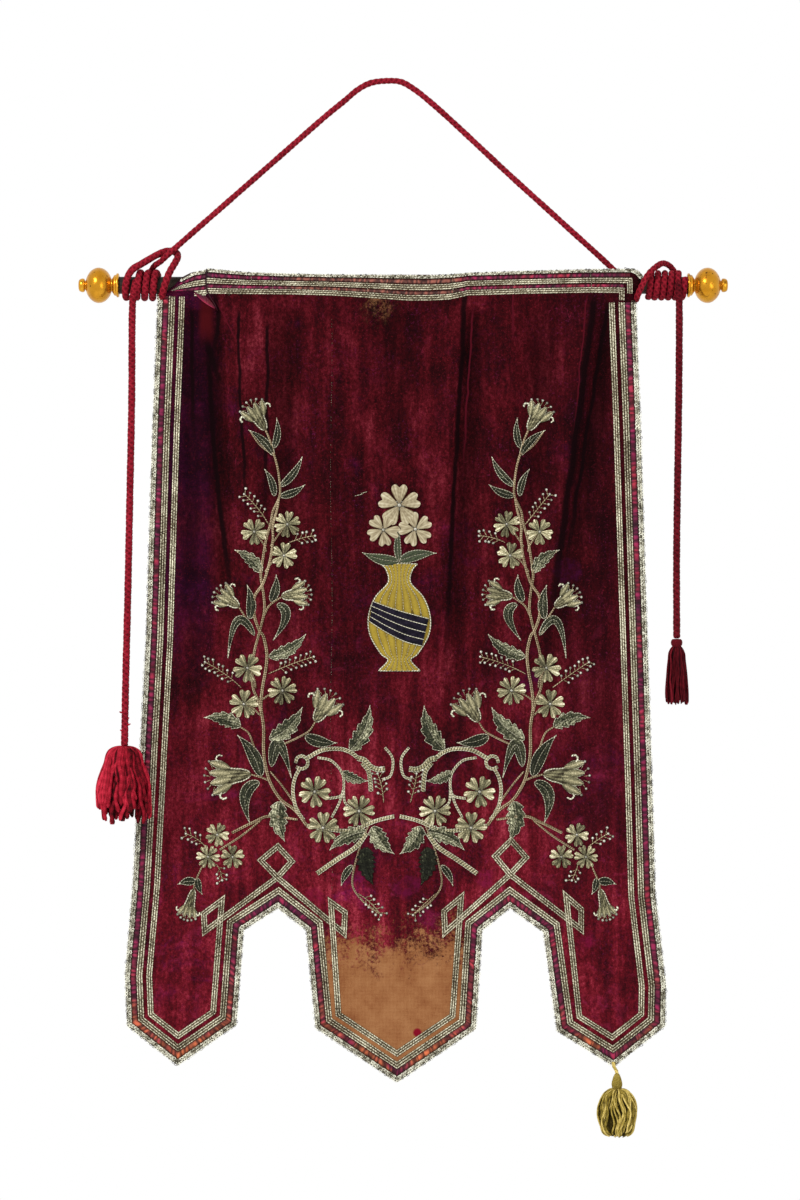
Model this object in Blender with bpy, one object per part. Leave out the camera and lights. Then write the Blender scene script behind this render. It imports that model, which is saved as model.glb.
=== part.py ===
"""Processional church banner hanging from its gilt-ended rod by a cord.

Metres, +Z up. The origin is the point on the underside of the cord's peak where a hook carries it.
X runs along the rod and -Y faces the viewer. Tables are in millimetres. A place on the banner is
given as x and the drop below the rod's axis.
"""

import math
import random

import bmesh
import bpy
from mathutils import Matrix, Vector
from mathutils.geometry import delaunay_2d_cdt, interpolate_bezier, normal

MM = 0.001
GAP = 0.3

# The rod and its turned finials
AXIS_Z = -302.0
ROD_RADIUS = 12.85
ROD_LEFT, ROD_RIGHT = -403.0, 448.5
FACETS = 20
BALL_START, BALL_END, BALL_RADIUS = 10.3, 50.9, 26.5
BALL_STEPS = 9

# Distance outward from the rod's end, and radius
COLLAR_PROFILE = ((0.0, 15.2), (0.9, 17.6), (3.4, 18.0), (4.6, 16.2), (7.6, 15.0), (9.4, 11.5))
BUTTON_PROFILE = ((51.3, 7.2), (52.6, 9.8), (56.0, 10.1), (59.6, 8.6), (61.0, 5.0))

# The cloth and what is sewn on it
CLOTH_THICK = 2.5
LACE_THICK = 1.2
RIBBON_THICK = 1.0
GALLOON_THICK = 1.5
APPLIQUE_THICK = 2.0
HEM_INSET = 2.5

# Distances inward from the banner's outer edge
LACE_BAND = (0.0, 8.0)
RIBBON_BAND = (8.5, 16.5)
GALLOON_BAND = (17.0, 26.5)
STRAP_BAND = (32.0, 41.0)

# Outer edge of the lace from the top left, down and round the lappets, to the top right
EDGE = (
    (-345.0, 27.0),
    (-353.0, 217.0),
    (-363.0, 532.0),
    (-382.5, 898.0),
    (-394.5, 1034.5),
    (-391.5, 1111.0),
    (-316.0, 1171.0),
    (-227.0, 1109.5),
    (-216.0, 967.0),
    (-165.0, 934.0),
    (-123.0, 967.0),
    (-109.0, 1114.0),
    (13.5, 1196.5),
    (132.0, 1115.5),
    (141.5, 967.0),
    (183.0, 934.0),
    (232.5, 970.0),
    (253.0, 1118.5),
    (339.0, 1172.5),
    (416.0, 1111.0),
    (417.0, 1049.5),
    (401.0, 914.5),
    (396.0, 742.0),
    (387.0, 472.0),
    (378.0, 208.0),
    (369.0, 27.0),
)
LEFT_NOTCH = slice(8, 11)
RIGHT_NOTCH = slice(14, 17)

# The heading's outline from the top right to the gathered left end
HEADING_EDGE = (
    (367.5, -12.5),
    (358.5, -24.2),
    (-269.0, -24.2),
    (-295.0, -20.6),
    (-306.7, -15.4),
    (-323.7, 6.8),
    (-329.0, 25.5),
)

# Rows sewn along the heading: upper and lower drop, right end, how far down that end turns,
# thickness and finish
HEADING_ROWS = {
    "heading_lace": (-24.5, -18.5, 358.0, 0.0, LACE_THICK, "lace"),
    "heading_ribbon_upper": (-17.5, -10.5, 362.0, 0.0, RIBBON_THICK, "ribbon"),
    "heading_galloon_upper": (-9.5, -0.5, 365.5, 24.0, GALLOON_THICK, "galloon"),
    "heading_ribbon_lower": (0.5, 5.5, 355.5, 0.0, RIBBON_THICK, "ribbon"),
    "heading_galloon_lower": (6.5, 15.5, 354.5, 24.0, GALLOON_THICK, "galloon"),
}
TAPER_DROP = 7.0
TAPER = ((-317.0, 0.36), (-306.7, 0.70), (-271.5, 1.0))

# The strap's way through the knots over each notch
LEFT_KNOT = (
    (-249.0, 922.0),
    (-276.0, 942.0),
    (-274.5, 968.6),
    (-165.8, 887.6),
    (-144.0, 863.6),
    (-165.0, 841.0),
    (-190.5, 862.0),
    (-165.8, 887.6),
    (-66.0, 971.6),
    (-64.5, 940.0),
    (-85.5, 925.0),
)
RIGHT_KNOT = (
    (109.5, 917.6),
    (84.0, 938.6),
    (85.5, 970.0),
    (183.0, 883.0),
    (207.0, 857.6),
    (184.5, 832.0),
    (160.5, 856.0),
    (183.0, 883.0),
    (289.5, 965.6),
    (289.5, 935.6),
    (267.0, 916.0),
)

# How the cloth hangs: drop, and depth of its front face before the folds
HANG = (
    (-25.0, -10.0),
    (-14.0, -14.6),
    (-4.0, -16.4),
    (8.0, -16.4),
    (18.0, -15.6),
    (27.0, -14.2),
    (36.0, -13.4),
    (75.0, -11.0),
    (130.0, -9.2),
    (230.0, -7.5),
    (340.0, -6.3),
    (450.0, -5.6),
    (560.0, -5.0),
    (680.0, -5.0),
    (800.0, -5.0),
    (930.0, -5.0),
    (1010.0, -4.0),
    (1100.0, -1.0),
    (1200.0, 4.0),
)
FOLDS_FROM, FOLDS_TO = 36.0, 930.0
FIRST_COLUMN, COLUMN_WIDTH, COLUMNS = -412.5, 16.5, 51
CALM_MARGIN, CALM_REACH = 24.0, 24.0

# Vertical folds: x at the heading, x and drop at the lower end, depth away from the viewer
# (negative stands proud), half width
FOLDS = (
    (-262.0, -240.0, 560.0, 15.0, 19.0),
    (-228.0, -206.0, 640.0, -10.0, 24.0),
    (-293.0, -297.0, 820.0, 9.0, 16.0),
    (-155.0, -168.0, 800.0, 6.0, 30.0),
    (-92.0, -104.0, 820.0, -5.0, 27.0),
    (20.0, 6.0, 300.0, 4.0, 32.0),
    (108.0, 66.0, 720.0, -13.0, 19.0),
    (124.0, 82.0, 760.0, 15.0, 18.0),
    (184.0, 176.0, 560.0, -6.0, 18.0),
    (228.0, 214.0, 620.0, 6.0, 25.0),
    (306.0, 225.0, 600.0, -14.0, 24.0),
    (330.0, 222.0, 700.0, 15.0, 21.0),
)

# The heading folded back behind the rod: depth and drop along its outer and its inner face
FOLD_OUTER = (
    (-10.4, -20.8),
    (-7.0, -23.0),
    (0.0, -21.7),
    (9.0, -15.2),
    (15.2, -6.5),
    (17.0, 2.0),
    (14.0, 12.0),
    (5.0, 22.0),
    (-6.0, 30.0),
    (-12.4, 33.5),
)
FOLD_INNER = (
    (-12.2, 30.0),
    (-7.3, 27.6),
    (3.5, 19.7),
    (11.8, 10.6),
    (14.5, 1.8),
    (12.8, -5.8),
    (7.3, -13.3),
    (-0.8, -19.2),
    (-7.0, -20.4),
    (-10.8, -18.4),
)
FOLD_LEFT, FOLD_RIGHT = -266.0, 352.0

# The vase sewn at the centre: half width and drop, from lip to foot
VASE_X = 17.0
VASE_SIDE = (
    (27.0, 418.0),
    (19.0, 428.0),
    (17.0, 446.0),
    (36.0, 468.0),
    (46.0, 496.0),
    (44.0, 524.0),
    (28.0, 552.0),
    (17.0, 562.0),
    (31.0, 578.0),
)
VASE_SASH = ((-40.0, 474.0), (44.0, 500.0), (44.0, 524.0), (34.0, 541.0), (-45.0, 504.0))

# Blooms over the vase: x, drop and radius; and leaves: root x and drop, tip x and drop, width
BLOOMS = ((17.0, 330.0, 32.0), (-7.0, 367.0, 25.0), (41.0, 366.0, 26.0))
LEAVES = (
    (17.0, 414.0, -36.0, 402.0, 15.0),
    (17.0, 414.0, 70.0, 402.0, 15.0),
    (17.0, 414.0, 17.0, 366.0, 9.0),
)
PETALS, PETAL_STEPS, PETAL_DEPTH = 6, 4, 0.13

# The cord's routes: x, depth and height above the rod's axis
SLING_RADIUS, CORD_RADIUS = 4.75, 5.5
SLING_STEP, HITCH_STEP, TAIL_STEP = 16.0, 9.0, 30.0
SLING_ROUTE = (
    (-349, -1, 30.4),
    (-341, -8, 34.5),
    (-331, -14, 43),
    (-319.5, -15.5, 53),
    (-303, -13, 68),
    (-232, -8, 131),
    (-162, -4, 193),
    (-93, -1, 254),
    (-65, 0, 277),
    (-46, 0, 293),
    (-26, 0, 303.5),
    (0, 0, 306.8),
    (20, 0, 305),
    (38, 0, 295),
    (57, 0, 280.5),
    (91, 2, 251),
    (182, 7, 167),
    (265, 15, 93),
    (345, 25, 21),
    (357, 27, 5),
    (366, 24, -8),
    (370, 14, -17),
    (371.5, 1, -21.2),
    (372, -12, -21),
    (375, -23.5, -12),
    (379.5, -28, -2),
    (384.5, -29, 8),
    (391, -27, 17),
    (401, -20.5, 26),
    (412, -6, 32.5),
    (423, 8, 30),
    (430, 19, 24),
)
HITCH_ROUTE = (
    (-340, 7, -18.6),
    (-339, -7, -20.5),
    (-337, -20, -15),
    (-332, -26, 1),
    (-325.5, -25, 18),
    (-318, -20, 32),
    (-314.5, -12, 42),
    (-319, -2.5, 51),
    (-331, 1.5, 54.5),
    (-345, -2, 50),
    (-358, -7, 41.5),
    (-371, -10, 34),
    (-382, -11, 28.6),
)
TAIL_LEFT_ROUTE = (
    (-381.5, -20, -20),
    (-382.2, -21, -60),
    (-382.5, -24, -172),
    (-385, -29, -322),
    (-387.5, -36, -472),
    (-390, -42, -592),
    (-391.5, -45, -690),
)
TAIL_RIGHT_ROUTE = (
    (435, -20, -20),
    (435.2, -21, -60),
    (434.5, -20, -172),
    (432.8, -19, -292),
    (431.3, -19, -412),
    (431.5, -19, -529.5),
)

# The turns round the rod: left end, right end, number of turns, lean
WRAPS = {"wrap_left": (-398.5, -347.0, 4, 0.12), "wrap_right": (388.5, 447.0, 6, 0.03)}
RIDGE_STEPS = 4

# Tassel heads: distance below the top, and radius
LEFT_HEAD = ((0.0, 6.0), (2.0, 15.0), (7.0, 23.0), (14.0, 26.0), (24.0, 26.5), (29.0, 23.0))
RIGHT_HEAD = (
    (0.0, 6.0),
    (2.0, 8.0),
    (9.0, 8.2),
    (11.5, 6.4),
    (14.0, 9.6),
    (20.0, 12.4),
    (27.0, 12.2),
)
GOLD_HEAD = (
    (0.0, 3.5),
    (2.0, 6.6),
    (10.0, 7.6),
    (18.0, 7.0),
    (22.0, 5.0),
    (26.0, 9.5),
    (32.0, 12.0),
    (37.0, 10.0),
)

# Rings of strands: number, then radius and distance below the top at the root, the shoulder, the
# widest place and the end
LEFT_STRANDS = (
    (19, 21.0, 22.0, 31.0, 34.0, 41.0, 62.0, 41.0, 92.0),
    (12, 13.0, 24.0, 20.0, 38.0, 26.0, 64.0, 27.0, 99.0),
    (5, 5.0, 25.0, 8.0, 40.0, 11.0, 66.0, 12.0, 103.0),
)
RIGHT_STRANDS = (
    (11, 8.5, 24.0, 13.0, 36.0, 15.5, 62.0, 16.5, 92.0),
    (5, 3.5, 25.0, 6.0, 38.0, 7.3, 64.0, 8.0, 96.0),
)
GOLD_STRANDS = (
    (14, 7.0, 30.0, 20.0, 38.0, 28.0, 56.0, 22.0, 84.0),
    (8, 5.0, 33.0, 12.0, 45.0, 17.5, 60.0, 14.0, 88.0),
    (3, 2.5, 34.0, 4.5, 50.0, 6.0, 66.0, 5.5, 90.0),
)
LEFT_TASSEL_AT = (-391.5, -46.0, -690.5)
RIGHT_TASSEL_AT = (431.5, -19.0, -530.0)
GOLD_TASSEL_AT = (343.5, 0.0, -1182.5)
LEFT_STRAND, RIGHT_STRAND, GOLD_STRAND = 5.6, 4.4, 5.4
LEFT_DEPTH_SHARE = 0.80
TASSEL_FACETS = 16
LENGTH_SPREAD = 5.0
GOLD_LOOP = ((338, -1.8, -1165), (339, -2.6, -1172), (342, -1.5, -1177), (343.4, -0.3, -1181.6))
GOLD_LOOP_RADIUS, GOLD_LOOP_STEP = 1.3, 3.0

FINISHES = {
    "velvet": ((0.17, 0.006, 0.022), 0.85, 0.0),
    "lace": ((0.42, 0.41, 0.30), 0.55, 0.6),
    "ribbon": ((0.30, 0.02, 0.13), 0.6, 0.0),
    "galloon": ((0.46, 0.40, 0.22), 0.45, 0.8),
    "cord": ((0.36, 0.012, 0.03), 0.8, 0.0),
    "gilt": ((0.66, 0.36, 0.07), 0.35, 0.9),
    "rod": ((0.02, 0.015, 0.012), 0.5, 0.0),
    "gold_floss": ((0.40, 0.27, 0.07), 0.7, 0.2),
    "ochre_satin": ((0.50, 0.33, 0.03), 0.5, 0.0),
    "black_velvet": ((0.01, 0.009, 0.014), 0.9, 0.0),
    "cream_silk": ((0.80, 0.74, 0.55), 0.6, 0.0),
    "leaf_silk": ((0.10, 0.13, 0.05), 0.6, 0.0),
}


def own_material(name, finish):
    """A piece's own material, in one of the finishes."""
    colour, roughness, metallic = FINISHES[finish]
    made = bpy.data.materials.new(name)
    made.use_nodes = True
    shader = made.node_tree.nodes["Principled BSDF"]
    shader.inputs["Base Color"].default_value = (*colour, 1.0)
    shader.inputs["Roughness"].default_value = roughness
    shader.inputs["Metallic"].default_value = metallic
    return made


def add(name, bm, finish, smooth=False, guide=False):
    """A new object from a bmesh, which is freed."""
    bmesh.ops.recalc_face_normals(bm, faces=bm.faces)
    mesh = bpy.data.meshes.new(name)
    bm.to_mesh(mesh)
    bm.free()
    if smooth:
        mesh.shade_smooth()
        mesh.set_sharp_from_angle(angle=math.radians(40))
    made = bpy.data.objects.new(name, mesh)
    bpy.context.scene.collection.objects.link(made)
    if guide:
        made.hide_render = True
        made.display_type = "WIRE"
    else:
        mesh.materials.append(own_material(name, finish))
    return made


def unite(base, other):
    """Joins another object's shape into base."""
    joined = base.modifiers.new("join", "BOOLEAN")
    joined.operation = "UNION"
    joined.object = other


def loop_faces(bm, near, far):
    """Closes the wall between two rings of vertices."""
    for i in range(len(near)):
        corners = dict.fromkeys((near[i - 1], near[i], far[i], far[i - 1]))
        bm.faces.new(list(corners))


def on_rod(x, depth, height):
    """A place near the rod, given in millimetres from its axis, in metres."""
    return Vector((x, depth, AXIS_Z + height)) * MM


def offset(points, inward, closed=False):
    """A run of (x, drop) points moved inward by a distance, with mitred corners."""
    spots = [Vector(p) for p in points]
    ways = [(b - a).normalized() for a, b in zip(spots, spots[1:] + spots[:1])]
    if not closed:
        ways[-1] = ways[-2]
    moved = []
    for i, spot in enumerate(spots):
        before = ways[i - 1] if i or closed else ways[0]
        after = ways[i]
        aside = Vector((before.y, -before.x)) + Vector((after.y, -after.x))
        moved.append(spot + aside * inward / (1 + before.dot(after)))
    return moved


def side_limits(drop):
    """The banner's left and right edge at a drop above the lappets."""
    found = []
    for before, after in zip(EDGE, EDGE[1:]):
        low, high = sorted((before[1], after[1]))
        if low <= drop < high:
            share = (drop - before[1]) / (after[1] - before[1])
            found.append(before[0] + (after[0] - before[0]) * share)
    return min(found), max(found)


def fold_depth(x, drop):
    """How far the folds push the cloth away from the viewer at one place."""
    total = 0.0
    for top_x, low_x, low_drop, depth, half_width in FOLDS:
        share = (drop - FOLDS_FROM) / (low_drop - FOLDS_FROM)
        if 0 < share < 1:
            strength = min(1.0, 0.5 + share * 5) * (1 - share * share) ** 1.5
            across = (x - top_x - (low_x - top_x) * share) / half_width
            total += depth * strength * math.exp(-across * across)
    left, right = side_limits(drop)
    calm = (min(x - left, right - x) - CALM_MARGIN) / CALM_REACH
    return total * min(1.0, max(0.0, calm))


def column(i):
    return FIRST_COLUMN + COLUMN_WIDTH * i


def is_folded(row):
    """Whether the cloth between this row of HANG and the next has folds."""
    return FOLDS_FROM <= HANG[row][0] and HANG[row + 1][0] <= FOLDS_TO


def corner_depth(i, row):
    """Depth of the cloth's front at a corner of the crease lattice."""
    drop, base = HANG[row]
    return base if drop in (FOLDS_FROM, FOLDS_TO) else base + fold_depth(column(i), drop)


def build_lattice():
    """The cloth's depth at every corner of the crease lattice."""
    folded = [row for row in range(len(HANG)) if FOLDS_FROM <= HANG[row][0] <= FOLDS_TO]
    return {(i, row): corner_depth(i, row) for i in range(COLUMNS) for row in folded}


LATTICE = build_lattice()


def front_depth(x, drop):
    """Depth of the cloth's front face: flat between the crease lines."""
    last = len(HANG) - 2
    row = next((r for r in range(last) if drop < HANG[r + 1][0]), last)
    (upper, base), (lower, next_base) = HANG[row], HANG[row + 1]
    down = (drop - upper) / (lower - upper)
    if not is_folded(row):
        return base + (next_base - base) * down
    i = math.floor((x - FIRST_COLUMN) / COLUMN_WIDTH)
    across = (x - column(i)) / COLUMN_WIDTH
    near, far = LATTICE[i, row], LATTICE[i + 1, row + 1]
    if across > down:
        turn = LATTICE[i + 1, row]
        return near + (turn - near) * across + (far - turn) * down
    turn = LATTICE[i, row + 1]
    return near + (turn - near) * down + (far - turn) * across


def flat_vertex(bm, point):
    """A vertex of a flat pattern at (x, drop), in millimetres at depth 0."""
    return bm.verts.new((point[0], 0.0, -point[1]))


def flat_pattern(shapes):
    """Flat faces that cover one or more outlines, which may overlap."""
    corners, faces = [], []
    for shape in shapes:
        spots = [Vector(p).to_3d() for p in shape]
        if normal(spots).z < 0:
            spots.reverse()
        faces.append(list(range(len(corners), len(corners) + len(spots))))
        corners += [spot.to_2d() for spot in spots]
    points, _, triangles, _, _, sources = delaunay_2d_cdt(corners, [], faces, 0, 1e-4)
    bm = bmesh.new()
    verts = [flat_vertex(bm, p) for p in points]
    for triangle, source in zip(triangles, sources):
        if source:
            bm.faces.new([verts[i] for i in triangle])
    loose = [v for v in bm.verts if not v.link_faces]
    bmesh.ops.delete(bm, geom=loose, context="VERTS")
    bmesh.ops.recalc_face_normals(bm, faces=bm.faces)
    bmesh.ops.dissolve_limit(bm, angle_limit=0.01, verts=bm.verts, edges=bm.edges)
    return bm


def thicken(bm, thick):
    """Gives a flat pattern its thickness, behind it."""
    made = bmesh.ops.extrude_face_region(bm, geom=bm.faces[:])["geom"]
    backs = [v for v in made if isinstance(v, bmesh.types.BMVert)]
    bmesh.ops.translate(bm, verts=backs, vec=(0, thick, 0))


def cut(bm, faces, point, across):
    """Cuts some faces of a pattern along a plane."""
    edges = {e for f in faces for e in f.edges}
    verts = {v for f in faces for v in f.verts}
    geometry = [*verts, *edges, *faces]
    bmesh.ops.bisect_plane(bm, geom=geometry, plane_co=point, plane_no=across, dist=1e-4)


def reaches(face, x):
    """Whether a face reaches into the column on the right of x."""
    spots = [v.co.x for v in face.verts]
    return min(spots) < x + COLUMN_WIDTH and max(spots) > x


def crease(bm):
    """Cuts a pattern along the crease lines, so that it can follow the hanging cloth."""
    for drop, _ in HANG[1:-1]:
        cut(bm, bm.faces[:], (0, 0, -drop), (0, 0, 1))
    for row in filter(is_folded, range(len(HANG) - 1)):
        upper, lower = HANG[row][0], HANG[row + 1][0]
        slant = Vector((lower - upper, 0, COLUMN_WIDTH)).normalized()
        for i in range(COLUMNS):
            x = column(i)
            for point, across in (((x, 0, 0), (1, 0, 0)), ((x, 0, -upper), slant)):
                band = [f for f in bm.faces if upper < -f.calc_center_bounds().z < lower]
                cut(bm, [f for f in band if reaches(f, x)], point, across)


def hang(bm, lift):
    """Moves a creased pattern onto the cloth's front, lift off it, and into its place in metres."""
    for v in bm.verts:
        v.co.y += front_depth(v.co.x, -v.co.z) - lift
        v.co = on_rod(*v.co)


def sewn(name, shapes, thick, finish, over=0.0):
    """A piece that lies on the cloth's front, or over another piece of a given thickness."""
    bm = flat_pattern(shapes)
    thicken(bm, thick)
    crease(bm)
    hang(bm, over + GAP + thick)
    return add(name, bm, finish)


def strips(path, half_width):
    """One quad for each leg of a path."""
    right, left = offset(path, half_width), offset(path, -half_width)
    return [(right[i], right[i + 1], left[i + 1], left[i]) for i in range(len(path) - 1)]


def edge_band(name, band, thick, finish):
    """A band sewn down the sides and round the lappets, between two distances from the edge."""
    outer, inner = (offset(EDGE, distance) for distance in band)
    sewn(name, [outer + inner[::-1]], thick, finish)


def cloth():
    """The velvet: one sheet with three lappets, its heading folded back behind the rod."""
    bm = flat_pattern([offset(EDGE + HEADING_EDGE, HEM_INSET, closed=True)])
    thicken(bm, CLOTH_THICK)
    crease(bm)
    hang(bm, 0.0)
    sheet = add("banner_cloth", bm, "velvet")
    bm = bmesh.new()
    rings = []
    for x in (FOLD_LEFT, FOLD_RIGHT):
        rings.append([bm.verts.new(on_rod(x, y, -drop)) for y, drop in FOLD_OUTER + FOLD_INNER])
        bm.faces.new(rings[-1])
    loop_faces(bm, *rings)
    unite(sheet, add("heading_fold", bm, "velvet", guide=True))


def tapered(drop, share):
    return TAPER_DROP + (drop - TAPER_DROP) * share


def heading_rows():
    """The rows along the heading, drawn together at its left end and mitred at its right."""
    for name, (upper, lower, right, turn, thick, finish) in HEADING_ROWS.items():
        top = [(x, tapered(upper, share)) for x, share in TAPER]
        bottom = [(x, tapered(lower, share)) for x, share in TAPER]
        end = [(right, upper), (right, lower)]
        if turn:
            inner = right - (lower - upper)
            end = [(right, upper), (right, turn), (inner, turn), (inner, lower)]
        sewn(name, [top + end + bottom[::-1]], thick, finish)


def inner_galloon():
    """The inner galloon: one strap that crosses itself in knots over both notches."""
    centre = offset(EDGE, sum(STRAP_BAND) / 2)
    path = centre[: LEFT_NOTCH.start] + [Vector(p) for p in LEFT_KNOT]
    path += centre[LEFT_NOTCH.stop : RIGHT_NOTCH.start] + [Vector(p) for p in RIGHT_KNOT]
    path += centre[RIGHT_NOTCH.stop :]
    width = STRAP_BAND[1] - STRAP_BAND[0]
    sewn("galloon_inner", strips(path, width / 2), GALLOON_THICK, "galloon")


def bloom(x, drop, radius):
    """The outline of a flower with rounded petals."""
    count = PETALS * PETAL_STEPS
    outline = []
    for i in range(count):
        angle = math.tau * i / count
        reach = radius * (1 - PETAL_DEPTH + PETAL_DEPTH * math.cos(PETALS * angle))
        outline.append((x + reach * math.sin(angle), drop - reach * math.cos(angle)))
    return outline


def leaf(root_x, root_drop, tip_x, tip_drop, width):
    """The outline of a pointed leaf."""
    root, tip = Vector((root_x, root_drop)), Vector((tip_x, tip_drop))
    aside = (tip - root).orthogonal().normalized() * width / 2
    stations = ((0.0, 0.4), (0.3, 0.8), (0.65, 1.0))
    right = [root.lerp(tip, share) + aside * half for share, half in stations]
    left = [root.lerp(tip, share) - aside * half for share, half in stations]
    return [*right, tip, *left[::-1]]


def applique():
    """The vase of flowers at the centre."""
    over = APPLIQUE_THICK + GAP
    left = [(VASE_X - half, drop) for half, drop in VASE_SIDE]
    right = [(VASE_X + half, drop) for half, drop in VASE_SIDE]
    sewn("applique_vase", [left + right[::-1]], APPLIQUE_THICK, "ochre_satin")
    sash = [(VASE_X + x, drop) for x, drop in VASE_SASH]
    sewn("applique_sash", [sash], APPLIQUE_THICK, "black_velvet", over=over)
    sewn("applique_leaves", [leaf(*row) for row in LEAVES], APPLIQUE_THICK, "leaf_silk")
    blooms = [bloom(*row) for row in BLOOMS]
    sewn("applique_blooms", blooms, APPLIQUE_THICK, "cream_silk", over=over)


def turned(profile, facets=FACETS, looped=False):
    """A profile of (along, radius) turned about Z, with the distance along it as height."""
    bm = bmesh.new()
    rings = []
    for along, radius in profile:
        if radius:
            angles = [math.tau * i / facets for i in range(facets)]
            spots = [(radius * math.cos(a), radius * math.sin(a), along) for a in angles]
            rings.append([bm.verts.new(spot) for spot in spots])
        else:
            rings.append([bm.verts.new((0, 0, along))] * facets)
    for near, far in zip(rings, rings[1:]):
        loop_faces(bm, near, far)
    if looped:
        loop_faces(bm, rings[-1], rings[0])
    return bm


def to_rod_axis(bm, start, way):
    """Lays a turned shape along the rod from a start, outward in a direction along X."""
    for v in bm.verts:
        v.co = on_rod(start + way * v.co.z, v.co.x, v.co.y)
    return bm


def rod():
    """The plain turned rod between the finials."""
    length = ROD_RIGHT - ROD_LEFT - 2 * GAP
    bm = turned(((0, 0), (0, ROD_RADIUS), (length, ROD_RADIUS), (length, 0)))
    add("rod", to_rod_axis(bm, ROD_LEFT + GAP, 1), "rod", smooth=True)


def finials():
    """A gilt finial on each end: collar, flattened ball and button."""
    middle, half = (BALL_START + BALL_END) / 2, (BALL_END - BALL_START) / 2
    ball = []
    for i in range(BALL_STEPS + 1):
        angle = math.radians(22 + 142 * i / BALL_STEPS)
        ball.append((middle - half * math.cos(angle), BALL_RADIUS * math.sin(angle)))
    rows = [*COLLAR_PROFILE, *ball, *BUTTON_PROFILE]
    profile = [(rows[0][0], 0), *rows, (rows[-1][0], 0)]
    for name, start, way in (("finial_left", ROD_LEFT, -1), ("finial_right", ROD_RIGHT, 1)):
        add(name, to_rod_axis(turned(profile), start, way), "gilt", smooth=True)


def wraps():
    """The cord's turns round the rod, as one ridged ring at each end."""
    inner = ROD_RADIUS + GAP
    for name, (left, right, turns, lean) in WRAPS.items():
        half = (right - left) / turns / 2
        profile = [(left + 1.0, inner)]
        for turn in range(turns):
            middle = left + half * (2 * turn + 1)
            for i in range(RIDGE_STEPS + (turn == turns - 1)):
                angle = math.pi * i / RIDGE_STEPS
                rise = CORD_RADIUS * (1 + math.sin(angle))
                profile.append((middle - half * math.cos(angle), inner + rise))
        profile.append((right - 1.0, inner))
        bm = turned(profile, looped=True)
        for v in bm.verts:
            v.co = on_rod(v.co.z + lean * v.co.y, v.co.x, v.co.y)
        add(name, bm, "cord", smooth=True)


def smooth_route(points, step):
    """Points every step along a smooth curve through a cord's own points."""
    spots = [Vector(p) for p in points]
    fine = []
    for i in range(len(spots) - 1):
        start, end = spots[i], spots[i + 1]
        before, after = spots[max(i - 1, 0)], spots[min(i + 2, len(spots) - 1)]
        reach = (end - start).length / 3
        leave, arrive = (end - before).normalized() * reach, (after - start).normalized() * reach
        fine += interpolate_bezier(start, start + leave, end - arrive, end, 24)[:-1]
    fine.append(spots[-1])
    gone = [0.0]
    for a, b in zip(fine, fine[1:]):
        gone.append(gone[-1] + (b - a).length)
    count = round(gone[-1] / step)
    even, j = [], 0
    for i in range(count + 1):
        wanted = gone[-1] * i / count
        while j < len(fine) - 2 and gone[j + 1] < wanted:
            j += 1
        even.append(fine[j].lerp(fine[j + 1], (wanted - gone[j]) / (gone[j + 1] - gone[j])))
    return even


def cord(name, route, radius, step, finish="cord"):
    """A round cord along a route."""
    curve = bpy.data.curves.new(name, "CURVE")
    curve.dimensions = "3D"
    curve.bevel_depth = radius * MM
    curve.bevel_resolution = 2
    curve.use_fill_caps = True
    spline = curve.splines.new("POLY")
    spots = smooth_route(route, step)
    spline.points.add(len(spots) - 1)
    for point, spot in zip(spline.points, spots):
        point.co = (*on_rod(*spot), 1.0)
    curve.materials.append(own_material(name, finish))
    made = bpy.data.objects.new(name, curve)
    bpy.context.scene.collection.objects.link(made)


def strand(bm, path, thick):
    """A four-sided strand along a path, thinner at its root."""
    rings = []
    last = len(path) - 1
    for i, spot in enumerate(path):
        way = (path[min(i + 1, last)] - path[max(i - 1, 0)]).normalized()
        side = way.cross(Vector((spot.y, -spot.x, 0.0))).normalized()
        across = way.cross(side).normalized()
        half = thick * (0.5 if i else 0.3)
        corners = (side, across, -side, -across)
        rings.append([bm.verts.new(spot + corner * half) for corner in corners])
    for near, far in zip(rings, rings[1:]):
        loop_faces(bm, near, far)
    bm.faces.new(rings[0])
    bm.faces.new(rings[-1])


def tassel(name, at, head, rings, thick, finish, depth_share=1.0, seed=1):
    """A tassel: a turned head, and strands that hang apart below it."""
    spread = random.Random(seed)
    rows = [(-drop, radius) for drop, radius in head]
    bm = turned([(rows[0][0], 0), *rows, (rows[-1][0], 0)], facets=TASSEL_FACETS)
    strands = bmesh.new()
    for count, *row in rings:
        stops = list(zip(row[::2], row[1::2]))
        for i in range(count):
            angle = math.tau * (i + 0.5) / count
            longer = spread.uniform(-LENGTH_SPREAD, LENGTH_SPREAD)
            path = []
            for k, (radius, drop) in enumerate(stops):
                turn = angle + spread.uniform(-0.6, 0.6) * (k > 1) / count
                fall = drop + longer * k / (len(stops) - 1)
                path.append(Vector((radius * math.cos(turn), radius * math.sin(turn), -fall)))
            strand(strands, path, thick)
    shift = Matrix.Translation(on_rod(*at)) @ Matrix.Diagonal((MM, MM * depth_share, MM, 1))
    for shape in (bm, strands):
        shape.transform(shift)
    made = add(name, bm, finish)
    unite(made, add(name + "_strands", strands, finish, guide=True))


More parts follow.
